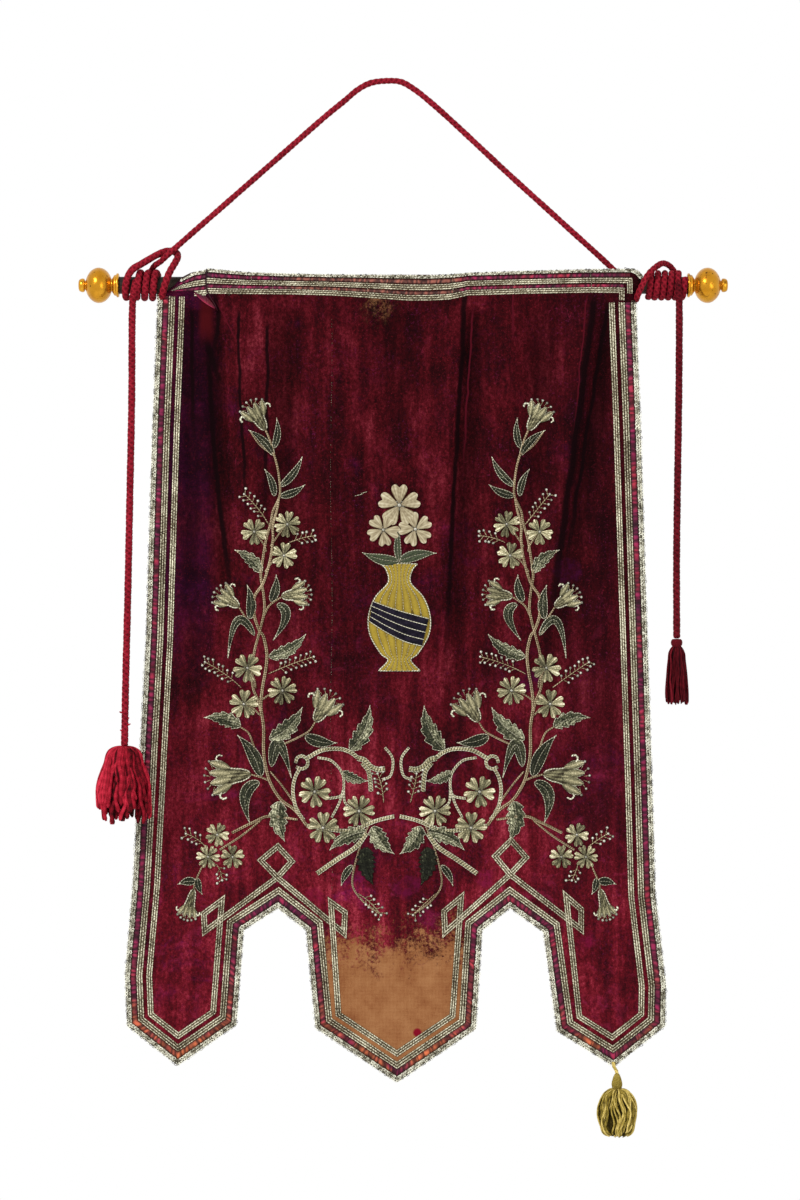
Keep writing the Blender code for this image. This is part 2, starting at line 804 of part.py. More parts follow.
def tassels():
    """The two red tassels on the cord's tails, and the gold one under the right lappet."""
    left = ("tassel_left", LEFT_TASSEL_AT, LEFT_HEAD, LEFT_STRANDS, LEFT_STRAND, "cord")
    tassel(*left, depth_share=LEFT_DEPTH_SHARE, seed=3)
    right = ("tassel_right", RIGHT_TASSEL_AT, RIGHT_HEAD, RIGHT_STRANDS, RIGHT_STRAND, "cord")
    tassel(*right, seed=5)
    gold = ("gold_tassel", GOLD_TASSEL_AT, GOLD_HEAD, GOLD_STRANDS, GOLD_STRAND, "gold_floss")
    tassel(*gold, seed=8)
    cord("gold_tassel_loop", GOLD_LOOP, GOLD_LOOP_RADIUS, GOLD_LOOP_STEP, "gold_floss")


def main():
    for old in list(bpy.data.objects):
        bpy.data.objects.remove(old)
    rod()
    finials()
    cloth()
    edge_band("edging_lace", LACE_BAND, LACE_THICK, "lace")
    edge_band("ruched_ribbon", RIBBON_BAND, RIBBON_THICK, "ribbon")
    edge_band("galloon_outer", GALLOON_BAND, GALLOON_THICK, "galloon")
    inner_galloon()
    heading_rows()
    applique()
    wraps()
    cord("sling_cord", SLING_ROUTE, SLING_RADIUS, SLING_STEP)
    cord("hitch_left", HITCH_ROUTE, CORD_RADIUS, HITCH_STEP)
    cord("tail_left", TAIL_LEFT_ROUTE, CORD_RADIUS, TAIL_STEP)
    cord("tail_right", TAIL_RIGHT_ROUTE, CORD_RADIUS, TAIL_STEP)
    tassels()


main()
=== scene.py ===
"""Looks of a processional church banner: cords, cloth, trims, embroidery, finials and tassels.

Tables are in millimetres in the part's own frame. A place on the hanging cloth is (x, drop), with
the drop taken below the rod's axis. A place near the rod is (x, depth, height above its axis).
"""

import math
import random

import bpy
import numpy as np
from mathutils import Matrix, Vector
from mathutils.geometry import delaunay_2d_cdt, interpolate_bezier

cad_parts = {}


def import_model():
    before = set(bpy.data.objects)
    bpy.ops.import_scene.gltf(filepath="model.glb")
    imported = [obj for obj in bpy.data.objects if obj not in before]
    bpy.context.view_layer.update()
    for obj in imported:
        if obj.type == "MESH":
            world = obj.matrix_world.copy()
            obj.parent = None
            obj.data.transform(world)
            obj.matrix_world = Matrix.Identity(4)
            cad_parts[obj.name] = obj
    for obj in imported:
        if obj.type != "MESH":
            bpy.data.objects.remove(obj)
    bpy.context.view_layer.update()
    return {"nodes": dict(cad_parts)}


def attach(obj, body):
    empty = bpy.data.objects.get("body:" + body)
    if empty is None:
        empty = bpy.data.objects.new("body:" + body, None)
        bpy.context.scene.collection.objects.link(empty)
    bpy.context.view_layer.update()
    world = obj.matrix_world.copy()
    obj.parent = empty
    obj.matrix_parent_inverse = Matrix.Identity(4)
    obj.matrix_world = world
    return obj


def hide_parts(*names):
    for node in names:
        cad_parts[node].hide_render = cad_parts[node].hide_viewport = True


MM = 0.001

# Camera, light and floor, in metres
CAMERA_AT = (0.018, -5.0, -0.774)
VIEW_HEIGHT = 1.8
SENSOR = 36.0
FLOOR_Z = -2.05
FLOOR_SIDE = 3.6
SKY = 1.0
LAMPS = (
    ("key", (-2.3, -3.0, 1.6), 1.1, 135.0),
    ("fill", (2.6, -3.4, -0.6), 2.2, 35.0),
)
LAMP_TARGET = (0, 0, -0.9)

# Spacing of the points along each kind of work
LACE_STEP, RUCHE_STEP, BRAID_STEP = 2.0, 1.6, 1.7
STITCH_STEP, COUCH_STEP, ROPE_STEP, YARN_STEP = 1.3, 1.65, 1.25, 3.2
CORD_STEP, TAIL_STEP = 4.0, 8.0
VELVET_GRID, VELVET_RIM, VELVET_MARGIN, ROW_SHIFT = 6.4, 5.0, 3.0, 2.7

# The rod and its finials
AXIS_Z = -302.0
ROD_RADIUS = 12.85
ROD_LEFT, ROD_RIGHT = -403.0, 448.5
COLLAR = ((0.0, 13.5), (0.0, 15.2), (0.9, 17.6), (3.4, 18.0), (4.6, 16.2), (7.6, 15.0), (9.6, 11.8))
BALL_START, BALL_END, BALL_RADIUS = 10.3, 50.9, 26.5
BUTTON = ((51.4, 7.4), (52.6, 9.8), (56.0, 10.2), (59.6, 8.6), (61.0, 5.0), (61.2, 0.3))

# The banner's outer edge, from the top left round the lappets to the top right
EDGE = (
    (-344.4, 17.0), (-353.0, 217.0), (-363.0, 532.0), (-382.5, 898.0), (-394.5, 1034.5),
    (-391.5, 1111.0), (-316.0, 1171.0), (-227.0, 1109.5), (-216.0, 967.0), (-165.0, 934.0),
    (-123.0, 967.0), (-109.0, 1114.0), (13.5, 1196.5), (132.0, 1115.5), (141.5, 967.0), (183.0, 934.0),
    (232.5, 970.0), (253.0, 1118.5), (339.0, 1172.5), (416.0, 1111.0), (417.0, 1049.5), (401.0, 914.5),
    (396.0, 742.0), (387.0, 472.0), (378.5, 208.0), (371.2, 27.0),
)
HEADING_EDGE = (
    (372.5, 12.0), (379.0, 2.0), (380.0, -9.0), (373.5, -19.5), (358.5, -24.2), (-269.0, -24.2),
    (-295.0, -20.6), (-309.0, -13.4), (-321.7, 0.8), (-331.0, 8.0), (-342.5, 13.0),
)
HEM_INSET = 2.5
CLOTH_THICK = 2.5
LACE_BAND = (-0.5, 8.0)
RIBBON_BAND = (8.0, 17.0)
GALLOON_BAND = (17.0, 26.5)
STRAP_BAND = (32.0, 41.0)
LEFT_NOTCH, RIGHT_NOTCH = slice(8, 11), slice(14, 17)
LEFT_KNOT = (
    (-249.0, 922.0), (-276.0, 942.0), (-274.5, 968.6), (-165.8, 887.6), (-144.0, 863.6),
    (-165.0, 841.0), (-190.5, 862.0), (-165.8, 887.6), (-66.0, 971.6), (-64.5, 940.0), (-85.5, 925.0),
)
RIGHT_KNOT = (
    (109.5, 917.6), (84.0, 938.6), (85.5, 970.0), (183.0, 883.0), (207.0, 857.6), (184.5, 832.0),
    (160.5, 856.0), (183.0, 883.0), (289.5, 965.6), (289.5, 935.6), (267.0, 916.0),
)

# Rows along the heading: upper and lower drop, right end, drop that the end turns down to
HEADING_LACE = (-24.5, -18.5, 358.0, 0.0)
HEADING_RIBBONS = ((-17.5, -10.5, 362.0, 0.0), (0.2, 6.0, 352.5, 0.0))
HEADING_GALLOONS = ((-9.8, -1.2, 366.0, 14.0), (5.6, 14.2, 354.0, 24.5))

# Where the rows draw together at the left: x, share of their spacing kept, shift down
TAPER_DROP = 7.0
TAPER = (
    (-324.0, 0.10, 4.0), (-309.0, 0.62, 4.5), (-289.5, 0.96, 4.0), (-272.7, 1.02, 2.6),
    (-271.3, 1.0, 0.0),
)

# The lace's turned end at the right: its upper and its lower line
END_LACE = (((356, -24.5), (368, -24.2), (377, -20), (382.5, -12)),
            ((356, -18.5), (365, -18), (371, -14.5), (375.5, -8.5)))

# How the cloth hangs: drop, and depth of its front before the folds
HANG = (
    (-25.0, -10.0), (-14.0, -14.6), (-4.0, -16.4), (8.0, -16.4), (18.0, -15.6), (27.0, -14.2),
    (36.0, -13.4), (75.0, -11.0), (130.0, -9.2), (230.0, -7.5), (340.0, -6.3), (450.0, -5.6),
    (560.0, -5.0), (930.0, -5.0), (1010.0, -4.0), (1100.0, -1.0), (1200.0, 4.0),
)
FOLDS_FROM = 36.0
CALM_MARGIN, CALM_REACH = 24.0, 24.0

# Folds: x at the heading, x and drop at the lower end, depth away from the viewer, half width
FOLDS = (
    (-262.0, -240.0, 560.0, 15.0, 19.0), (-228.0, -206.0, 640.0, -10.0, 24.0),
    (-293.0, -297.0, 820.0, 9.0, 16.0), (-155.0, -168.0, 800.0, 6.0, 30.0),
    (-92.0, -104.0, 820.0, -5.0, 27.0), (20.0, 6.0, 300.0, 4.0, 32.0),
    (108.0, 66.0, 720.0, -13.0, 19.0), (124.0, 82.0, 760.0, 15.0, 18.0),
    (184.0, 176.0, 560.0, -6.0, 18.0), (228.0, 214.0, 620.0, 6.0, 25.0),
    (306.0, 225.0, 600.0, -14.0, 24.0), (330.0, 222.0, 700.0, 15.0, 21.0),
)

# The heading folded back behind the rod: depth and drop, outer then inner face
FOLD_OUTER = (
    (-10.6, -20.2), (-7.0, -23.0), (0.0, -21.7), (9.0, -15.2), (15.2, -6.5), (17.0, 2.0), (14.0, 12.0),
    (5.0, 22.0), (-6.0, 30.0), (-12.4, 33.5),
)
FOLD_INNER = (
    (-12.2, 30.0), (-7.3, 27.6), (3.5, 19.7), (11.8, 10.6), (14.5, 1.8), (12.8, -5.8), (7.3, -13.3),
    (-0.8, -19.2), (-7.0, -20.4), (-10.8, -18.4),
)
FOLD_LEFT, FOLD_RIGHT = -266.0, 352.0

# How far the heading hangs lower along its length: x, at its top, at its lower braid
SAG = (
    (-272.0, 0.0, 0.0), (-209.0, 5.5, 0.4), (-150.0, 7.5, 0.9), (-87.0, 8.8, 2.6), (-30.0, 9.0, 6.0),
    (31.0, 9.6, 10.4), (62.0, 9.8, 10.4), (92.0, 8.6, 8.6), (113.0, 7.0, 4.2), (119.0, 6.2, 2.6),
    (200.0, 3.6, 0.2), (299.0, 1.0, -1.6), (345.0, 0.5, -1.2), (366.0, 0.0, 0.0),
)
HEADING_TOP, SAG_SPREAD = -24.5, 34.0
SAG_ENDS, SAG_FADE = 95.0, 75.0

# Creases in the heading, the small tuck that hangs below the left one, and the line of a dark strip of
# painted shade along the left crease
LEFT_CREASE, RIGHT_CREASE = -271.5, 115.5
TUCK_UPPER = ((-289.0, 11.5), (-280.0, 15.5), (-271.0, 19.5), (-262.0, 29.0), (-256.5, 37.5))
TUCK_LOWER = ((-289.5, 13.0), (-282.0, 21.0), (-273.0, 28.5), (-264.0, 34.0), (-256.0, 38.0))
CREASE_SHADE_LINE = ((-270.8, -23.5), (-272.2, -8.0), (-271.2, 6.0), (-267.0, 17.0), (-259.5, 29.0),
               (-255.5, 39.0))

# The cord's routes: x, depth and height above the rod's axis
SLING_RADIUS, CORD_RADIUS, WRAP_GAP = 4.75, 5.5, 0.3
SLING_ROUTE = (
    (-360, 19, 11), (-357, 14, 21), (-353, 7, 27), (-349, -1, 30.4), (-341, -8, 34.5), (-331, -14, 43),
    (-319.5, -15.5, 53), (-303, -13, 68), (-232, -8, 131), (-162, -4, 193), (-93, -1, 254),
    (-65, 0, 277), (-46, 0, 293), (-26, 0, 303.5), (0, 0, 306.8), (20, 0, 305), (38, 0, 295),
    (57, 0, 280.5), (91, 2, 251), (182, 7, 167), (265, 15, 93), (345, 25, 21), (357, 27, 5),
    (366, 24, -8), (370, 14, -17), (371.5, 1, -21.2), (372, -12, -21), (375, -23.5, -12),
    (379.5, -28, -2), (384.5, -29, 8), (391, -27, 17), (401, -20.5, 26), (412, -6, 32.5), (423, 8, 30),
    (430, 16, 23), (436, 18, 13), (439, 17.5, 4),
)
HITCH_ROUTE = (
    (-340, 7, -18.6), (-339, -7, -20.5), (-337, -20, -15), (-332, -26, 1), (-325.5, -25, 18),
    (-318, -20, 32), (-314.5, -12, 42), (-319, -2.5, 49.5), (-331, 1.5, 51.5), (-345, -3, 46),
    (-358, -8.5, 38), (-371, -13.5, 29.5), (-381, -18, 22.8), (-388, -18.5, 13), (-391.5, -18.8, 1),
    (-392.5, -15, -11), (-392.5, -6, -17.6), (-392, 4, -18.2),
)
TAIL_LEFT_ROUTE = (
    (-375.4, -18.8, 7), (-378.6, -19.8, -6), (-381.0, -20.4, -20), (-382.2, -21, -60),
    (-382.5, -24, -172), (-385, -29, -322), (-387.5, -36, -472), (-390, -42, -592), (-391.5, -45, -690),
)
TAIL_RIGHT_ROUTE = (
    (434, -18.2, 5), (434.6, -19.2, -6), (435, -20, -20), (435.2, -21, -60), (434.5, -20, -172),
    (432.8, -19, -292), (431.3, -19, -412), (431.5, -19, -529.5),
)
GOLD_LOOP_ROUTE = ((338, -1.8, -1165), (339, -2.6, -1172), (342, -1.5, -1177), (343.4, -0.3, -1181.6))

# Turns round the rod: where they begin, pitch, number of turns, cord radius
WRAPS = {"wrap_left": (-376.9, 11.9, 3.0, 5.5), "wrap_right": (389.8, 10.2, 5.35, 4.95)}

# Tassels: top, and the outline that the outer yarns follow, as radius and distance below the top
LEFT_TASSEL_AT = (-391.5, -46.0, -690.5)
RIGHT_TASSEL_AT = (431.5, -19.0, -530.0)
GOLD_TASSEL_AT = (343.5, 0.0, -1182.5)
LEFT_MOP = ((3, 0), (14, 2), (22, 7), (26, 16), (28, 27), (33, 42), (38, 60), (40, 78), (39, 97))
LEFT_DEPTH_SHARE = 0.80
RIGHT_KNOB = ((2.0, 0.0), (6.5, 0.8), (8.4, 4.0), (8.2, 8.5), (6.4, 11.5), (6.0, 13.0))
RIGHT_SKIRT = ((4.5, 11), (8.5, 15), (12, 22), (13, 32), (14.5, 46), (16, 64), (17, 80), (17, 95))
GOLD_NECK = ((1.0, -1.0), (3.2, 0.5), (5.0, 4.0), (6.8, 10.0), (7.8, 16.0), (7.0, 21.0),
             (4.8, 25.0), (5.0, 28.0))
GOLD_BALL = ((4.0, 25), (13, 26), (22, 32), (28, 44), (30, 58), (29, 72), (25, 84), (17, 90))

# Embroidery, mirrored about this x: u is the distance from it
MIRROR_X = 13.5
SEAM_X = -85.0

# Threads darned across the heading's rows: x, drops of start and end
DARNS = (
    (-239.0, 4.0, 16.0), (-205.0, -18.0, -8.0), (-173.0, -17.0, 14.0), (-98.0, -10.0, 2.0),
    (-31.0, -12.0, 15.0), (96.0, -17.0, 4.0), (188.0, -9.0, 14.0), (303.0, -16.0, 8.0),
)

# Flowers: u, drop, radius
FLOWERS = (
    (213.6, 369.6, 20), (164.3, 358.5, 20), (169.4, 405.3, 20), (224, 573.8, 22), (171.6, 607.7, 22),
    (229.5, 627.9, 22), (123.5, 759.2, 24), (56.9, 788, 24), (110.9, 813.2, 24), (269.3, 823.5, 18),
    (283.1, 856.8, 18), (246.3, 856.8, 18),
)

# Bells: base, middle of the mouth, width of the mouth
BELLS = (
    (197.4, 216.8, 214.8, 186.9, 45), (237.2, 481.7, 261.5, 464.9, 42),
    (172.5, 466.7, 141.5, 462.3, 43), (122.3, 653.6, 104, 623.7, 53), (219.9, 732.8, 269.9, 738, 60),
    (304.7, 905.8, 314, 941.6, 33),
)

# Leaves: root, tip, width
PLAIN_LEAVES = (
    (185, 255, 220, 219, 10), (185, 244, 180, 202, 9), (175, 301, 143, 260, 10),
    (184, 316, 197, 278, 9), (175, 316, 140, 301, 10), (221, 500, 223.5, 452, 13),
    (189, 474, 181, 437, 12), (137, 675.5, 92.4, 686, 16), (204, 736, 237, 676.5, 18),
    (302, 894, 326, 897, 11), (299, 889, 293, 911, 9), (66.4, 870, 83, 898, 9),
)
TOOTHED_LEAVES = (
    (203.6, 431, 241, 398, 17), (192, 557, 138, 525, 18), (235, 662, 286.5, 648, 20),
    (191, 681, 143, 635, 24), (70.7, 697, 40.8, 633, 24), (82, 729, 45.5, 743, 14),
    (45.5, 819, 99.3, 845, 22), (35, 811, 6.3, 851, 24), (175, 774, 169.4, 831.5, 26),
)
DARK_LEAVES = ((44.6, 842, 35.6, 899, 26),)

# The leaves on straight stalks: how far they bow, and how they are worked
LEAF_KINDS = (
    (PLAIN_LEAVES, 0.08, {}),
    (TOOTHED_LEAVES, 0.10, {"teeth": 5, "tone": 0.42}),
    (DARK_LEAVES, 0.10, {"teeth": 7, "tone": 0.10, "base": 0.3, "dark": True}),
)

# Curved leaves: root, bulge, tip, width
CURVED_LEAVES = (
    (180, 479, 166.5, 495, 184, 530, 13), (213.6, 525, 238.5, 503, 253, 556, 11),
    (188, 722, 177, 689, 159, 736, 17), (206, 745.5, 227, 764, 221, 805, 17),
)

# Sprigs: root, tip
SPRIGS = (
    (192.5, 358.5, 228.5, 313.7), (161.3, 385.8, 122.7, 375.9), (192.3, 582.5, 124.7, 557),
    (233.7, 603, 287.6, 565), (286.5, 842, 316.4, 822), (20, 775, 29.3, 732), (271, 868, 262, 892),
    (58, 912, 24, 944),
)

# Couched stems: half width, then their points
STEMS = (
    (2.0, (197, 217), (190, 234), (184, 255), (179, 274), (176, 296), (176, 316), (186, 339),
     (189, 356), (196, 381), (201, 411), (204, 436), (200, 463), (199, 490), (208, 527),
     (214.5, 555), (216.5, 598.5), (208.5, 622), (204, 640)),
    (2.4, (177, 319), (180, 337), (186, 360), (186, 381), (190, 411), (200, 445.5),
     (213.6, 468), (213.6, 495), (206, 518), (200, 527), (195, 553), (197, 578),
     (201.5, 603), (204, 631), (200, 663), (200, 697), (197, 720), (190, 745.5),
     (174, 771), (153, 787), (135, 810)),
    (1.5, (235, 662), (222, 672), (213, 695), (202.5, 715)),
    (1.5, (190, 729), (174, 748), (156, 773), (145.5, 790)),
    (1.5, (237, 482), (226, 500), (216, 523)),
    (1.5, (172.5, 467), (191, 480), (199, 495)),
    (1.5, (122, 654), (134, 670), (165, 686), (178.5, 691)),
    (1.5, (220, 733), (202.5, 738), (193.5, 742)),
    (2.2, (149, 801), (191, 796), (215, 805), (247.5, 821)),
    (1.6, (204, 802), (234, 826), (266, 846.5)),
    (1.4, (292.5, 872), (302, 894), (304.7, 906)),
    (1.4, (38, 800), (53.3, 836), (64.4, 874.7), (66, 901.7), (49.4, 924.8), (25.7, 942)),
    (1.3, (213.6, 369.6), (200, 388), (196, 400)),
    (1.3, (164.3, 358.5), (176, 372), (190, 392)),
    (1.3, (169.4, 405.3), (184, 412), (198, 430)),
    (1.3, (224, 573.8), (214, 590), (212, 604)),
    (1.3, (171.6, 607.7), (188, 612), (203, 622)),
    (1.3, (229.5, 627.9), (216, 634), (205, 645)),
    (1.3, (220, 219), (205, 240), (185, 255)),
    (1.3, (241, 398), (222, 412), (202, 431)),
)

# Silver scrolls, laid the same way
SCROLLS = (
    (3.0, (135, 709), (112, 697), (87, 695), (71, 699.5), (59, 708)),
    (1.6, (119, 708), (98, 713), (82, 732), (80, 755), (85.5, 766), (103, 769.5)),
    (1.4, (80, 755), (87, 777), (98, 798)),
    (1.4, (80, 755), (78, 775), (66, 786)),
    (2.4, (145.5, 724), (153, 739), (156, 759), (151, 784.5), (139.5, 802)),
    (4.2, (59, 709), (49, 712), (39, 722), (28, 726), (18, 725)),
    (3.4, (52, 716), (43, 728), (40, 744), (39, 759)),
    (1.6, (18, 693), (8, 706), (6, 720), (10.5, 736), (22.5, 741)),
    (2.8, (135, 810), (100.5, 816), (66, 817), (32, 803), (4, 796)),
    (3.6, (45.5, 821), (61.5, 842), (90, 861), (120, 882)),
    (2.2, (152, 716), (149, 708), (141, 706), (134, 712), (135, 721), (143, 725), (151, 722)),
)

# The vase at the centre: half width and drop from lip to foot, and its blooms and leaves
VASE_X = 17.0
VASE_SIDE = (
    (27.0, 418.0), (19.0, 428.0), (17.0, 446.0), (36.0, 468.0), (46.0, 496.0), (44.0, 524.0),
    (28.0, 552.0), (17.0, 562.0), (31.0, 578.0),
)
SASH_UPPER = ((-40.0, 474.0), (-4.0, 487.0), (25.0, 495.0), (44.0, 500.0))
SASH_LOWER = ((-45.0, 504.0), (-20.0, 520.0), (8.0, 534.0), (34.0, 541.0))
BLOOMS = ((17.0, 330.0, 32.0), (-7.0, 367.0, 25.0), (41.0, 366.0, 26.0))
VASE_LEAVES = (
    (17.0, 414.0, -36.0, 402.0, 15.0),
    (17.0, 414.0, 70.0, 402.0, 15.0),
    (17.0, 414.0, 17.0, 366.0, 9.0),
)


def line(points, step):
    """Evenly spaced places on a smooth curve through flat points."""
    spots = np.asarray(points, float)
    padded = np.vstack((2 * spots[0] - spots[1], spots, 2 * spots[-1] - spots[-2]))
    share = np.linspace(0, 1, 16, endpoint=False)[:, None]
    runs = []
    for a, b, c, d in zip(padded, padded[1:], padded[2:], padded[3:]):
        runs.append(0.5 * (2 * b + (c - a) * share + (2 * a - 5 * b + 4 * c - d) * share**2
                           + (3 * b - a - 3 * c + d) * share**3))
    return even(np.vstack(runs + [spots[-1:]]), step)


def even(points, step):
    """The same line with points a fixed step apart."""
    gone = distance_along(points)
    wanted = np.linspace(0, gone[-1], max(2, round(gone[-1] / step) + 1))
    return np.stack([np.interp(wanted, gone, column) for column in points.T], axis=-1)


def distance_along(points):
    """The length gone at each point of a line."""
    return np.concatenate(([0], np.cumsum(np.linalg.norm(np.diff(points, axis=0), axis=1))))


def hang_table():
    """Depth of the cloth's front by drop, its corners smoothed."""
    drops = np.arange(-30.0, 1215.0, 5.0)
    depths = np.interp(drops, *np.transpose(HANG))
    blurred = np.convolve(np.pad(depths, 2, mode="edge"), np.ones(5) / 5, mode="valid")
    return drops, blurred


HANG_TABLE = hang_table()
LEFT_SIDE = np.array(EDGE[:5])
RIGHT_SIDE = np.array(EDGE[::-1][:6])


def fold_depth(x, drop):
    """How far the folds push the cloth away from the viewer."""
    total = np.zeros(np.broadcast(x, drop).shape)
    for top_x, low_x, low_drop, depth, half_width in FOLDS:
        share = np.clip((drop - FOLDS_FROM) / (low_drop - FOLDS_FROM), 0, 1)
        strength = np.minimum(1, 0.5 + 5 * share) * (1 - share**2) ** 1.5 * (share > 0)
        across = (x - top_x - (low_x - top_x) * share) / half_width
        total += depth * strength * np.exp(-across * across)
    left = np.interp(drop, LEFT_SIDE[:, 1], LEFT_SIDE[:, 0])
    right = np.interp(drop, RIGHT_SIDE[:, 1], RIGHT_SIDE[:, 0])
    calm = (np.minimum(x - left, right - x) - CALM_MARGIN) / CALM_REACH
    return total * np.clip(calm, 0, 1)


def ripples(x, drop):
    """The soft crush of old velvet."""
    soft = np.sin(x / 23 + 1.3 * np.sin(drop / 71)) * np.sin(drop / 57 + 1.7 * np.sin(x / 90))
    fine = np.sin(x / 9.5 + 2 * np.sin(drop / 33)) * np.sin(drop / 14 + np.sin(x / 27))
    return 0.55 * soft + 0.3 * fine


def cloth_depth(x, drop):
    """Depth of the cloth's front."""
    base = np.interp(drop, *HANG_TABLE)
    settle = np.clip((drop - 20) / 60, 0, 1)
    return base + fold_depth(x, drop) + ripples(x, drop) * settle - heading_creases(x, drop)


def heading_creases(x, drop):
    """How far the heading stands proud beside its two creases."""
    fade = np.clip((70 - drop) / 45, 0, 1)
    left = 3.4 * np.exp(-(((x - LEFT_CREASE) / 17) ** 2)) * np.clip((x - LEFT_CREASE) / 2.5 + 0.5, 0, 1)
    right = 1.8 * np.exp(-(((x - RIGHT_CREASE) / 14) ** 2)) * np.clip((x - RIGHT_CREASE) / 2 + 0.5, 0, 1)
    slack = 0.6 * np.sin(x / 31 + 1) * np.sin(x / 74)
    return (left + right + slack) * fade


def on_cloth(x, drop, height=0.0):
    """Places on the cloth's front, some height proud of it, in metres."""
    x, drop, height = np.broadcast_arrays(x, drop, height)
    hangs = AXIS_Z - drop - heading_sag(x, drop)
    return np.stack((x, cloth_depth(x, drop) - height, hangs), axis=-1) * MM


def heading_sag(x, drop):
    """How far the heading hangs lower between its two ends."""
    xs, tops, lows = np.transpose(SAG)
    low = np.clip((drop - HEADING_TOP) / SAG_SPREAD, 0, 1)
    sag = np.interp(x, xs, tops) * (1 - low) + np.interp(x, xs, lows) * low
    return sag * np.clip((SAG_ENDS - drop) / SAG_FADE, 0, 1)


def offset(points, inward, closed=False):
    """A run of flat points moved inward, with mitred corners."""
    spots = [Vector(p) for p in points]
    ways = [(b - a).normalized() for a, b in zip(spots, spots[1:] + spots[:1])]
    if not closed:
        ways[-1] = ways[-2]
    moved = []
    for i, spot in enumerate(spots):
        before = ways[i - 1] if i or closed else ways[0]
        after = ways[i]
        aside = Vector((before.y, -before.x)) + Vector((after.y, -after.x))
        moved.append(spot + aside * inward / (1 + before.dot(after)))
    return np.array(moved)


class Pile:
    """Vertices and faces of one piece, gathered from many small forms."""

    def __init__(self):
        self.spots, self.faces, self.tones, self.maps, self.total = [], [], [], [], 0

    def grid(self, spots, tone=0.5, mapping=None, closed=False):
        """Adds a grid of places, with a tone for each and a thread map in metres."""
        rows, columns = spots.shape[:2]
        index = np.arange(rows * columns).reshape(rows, columns) + self.total
        self.total += rows * columns
        if mapping is None:
            mapping = np.zeros((rows, columns, 2))
        if faces_away(spots, closed):
            index = index[:, ::-1]
        if closed:
            index = np.concatenate((index, index[:, :1]), axis=1)
        corners = (index[:-1, :-1], index[1:, :-1], index[1:, 1:], index[:-1, 1:])
        self.faces.append(np.stack(corners, axis=-1).reshape(-1, 4))
        self.spots.append(spots.reshape(-1, 3))
        self.tones.append(np.broadcast_to(tone, (rows, columns)).reshape(-1))
        self.maps.append(np.broadcast_to(mapping, (rows, columns, 2)).reshape(-1, 2))

    def build(self, name, material, slot, *nodes):
        """Makes the piece, which rides on the part and stands for the named solids."""
        mesh = bpy.data.meshes.new(name)
        faces = np.concatenate(self.faces)
        mesh.from_pydata(np.concatenate(self.spots).tolist(), [], faces.tolist())
        tones = mesh.attributes.new("tone", "FLOAT", "POINT")
        tones.data.foreach_set("value", np.concatenate(self.tones).astype(np.float32))
        layer = mesh.uv_layers.new(name="thread")
        layer.data.foreach_set("uv", np.concatenate(self.maps)[faces.reshape(-1)].reshape(-1))
        mesh.materials.append(material)
        mesh.shade_smooth()
        return settle(bpy.data.objects.new(name, mesh), slot, *nodes)


def faces_away(spots, closed):
    """Whether a grid's faces look the wrong way: into a tube, or away from the viewer."""
    along = spots[1:, :-1] - spots[:-1, :-1]
    across = spots[:-1, 1:] - spots[:-1, :-1]
    normals = np.cross(along, across)
    if closed:
        outward = spots - spots.mean(axis=1, keepdims=True)
        return (normals * outward[:-1, :-1]).sum() < 0
    return normals[..., 1].sum() > 0


def settle(made, slot, *nodes):
    """Puts a new piece on the part and hides the solids it stands for; the finish it is given is not used.
    """
    bpy.context.scene.collection.objects.link(made)
    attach(made, "root")
    if nodes:
        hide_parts(*nodes)
    return made


def spread(pile, left, right, across, height, tone, back=None):
    """Lays a strip between two flat lines on the cloth, closed behind when back is given."""
    middle = (left + right) / 2
    along = distance_along(middle)
    width = np.linalg.norm(right - left, axis=1)
    x = left[:, :1] + (right - left)[:, :1] * across
    drop = left[:, 1:] + (right - left)[:, 1:] * across
    spots = on_cloth(x, drop, height)
    mapping = np.stack(np.broadcast_arrays(along[:, None], width[:, None] * across), -1) * MM
    tone = np.broadcast_to(tone, x.shape)
    if back is not None:
        behind = [on_cloth(x[:, side], drop[:, side], back)[:, None] for side in (-1, 0)]
        spots = np.concatenate((spots, *behind), axis=1)
        mapping = np.concatenate((mapping, mapping[:, -1:], mapping[:, :1]), axis=1)
        tone = np.concatenate((tone, tone[:, -1:], tone[:, :1]), axis=1)
    pile.grid(spots, tone, mapping, closed=back is not None)


def flanks(path, half):
    """The two sides of a flat line of a given half width."""
    ways = np.gradient(path, axis=0)
    ways /= np.linalg.norm(ways, axis=1, keepdims=True) + 1e-9
    aside = np.stack((ways[:, 1], -ways[:, 0]), axis=-1) * np.reshape(half, (-1, 1))
    return path + aside, path - aside


def couch(pile, path, half, rise=1.3, base=0.0, tone=0.55, twist=4.2):
    """Lays a couched metal cord along a flat line, with painted shade along its two edges."""
    path = even(np.asarray(path, float), COUCH_STEP)
    if len(path) < 2:
        return
    across = np.array((0.0, 0.2, 0.5, 0.8, 1.0))
    along = distance_along(path)[:, None]
    ply = np.sin(along * math.tau / twist + across * 3.5)
    taper = np.clip(np.minimum(along, along[-1] - along) / 2 + 0.35, 0, 1)
    height = base + rise * half**0.6 * np.sin(across * math.pi) ** 0.7 * (1 + 0.14 * ply) * taper
    left, right = flanks(path, half * taper[:, 0] ** 0.5)
    # Painted shade: the tone falls off towards the cord's two edges.
    spread(pile, left, right, across, height - 0.1, tone + 0.34 * ply - 0.9 * abs(across - 0.5) ** 1.5)


def bead(pile, x, drop, radius, base=0.3, tone=0.85):
    """A small metal bead, with painted shade at its rim and a painted highlight on its top."""
    rise = np.radians((0, 28, 56, 82))[:, None]
    turn = np.arange(8) * math.tau / 8
    spots = on_cloth(x + radius * np.cos(rise) * np.cos(turn),
                     drop + radius * np.cos(rise) * np.sin(turn),
                     base + radius * 0.9 * np.sin(rise))
    # Painted light: dark at the rim, bright on top.
    pile.grid(spots, tone * (0.12 + 0.88 * np.sin(rise) ** 2), closed=True)


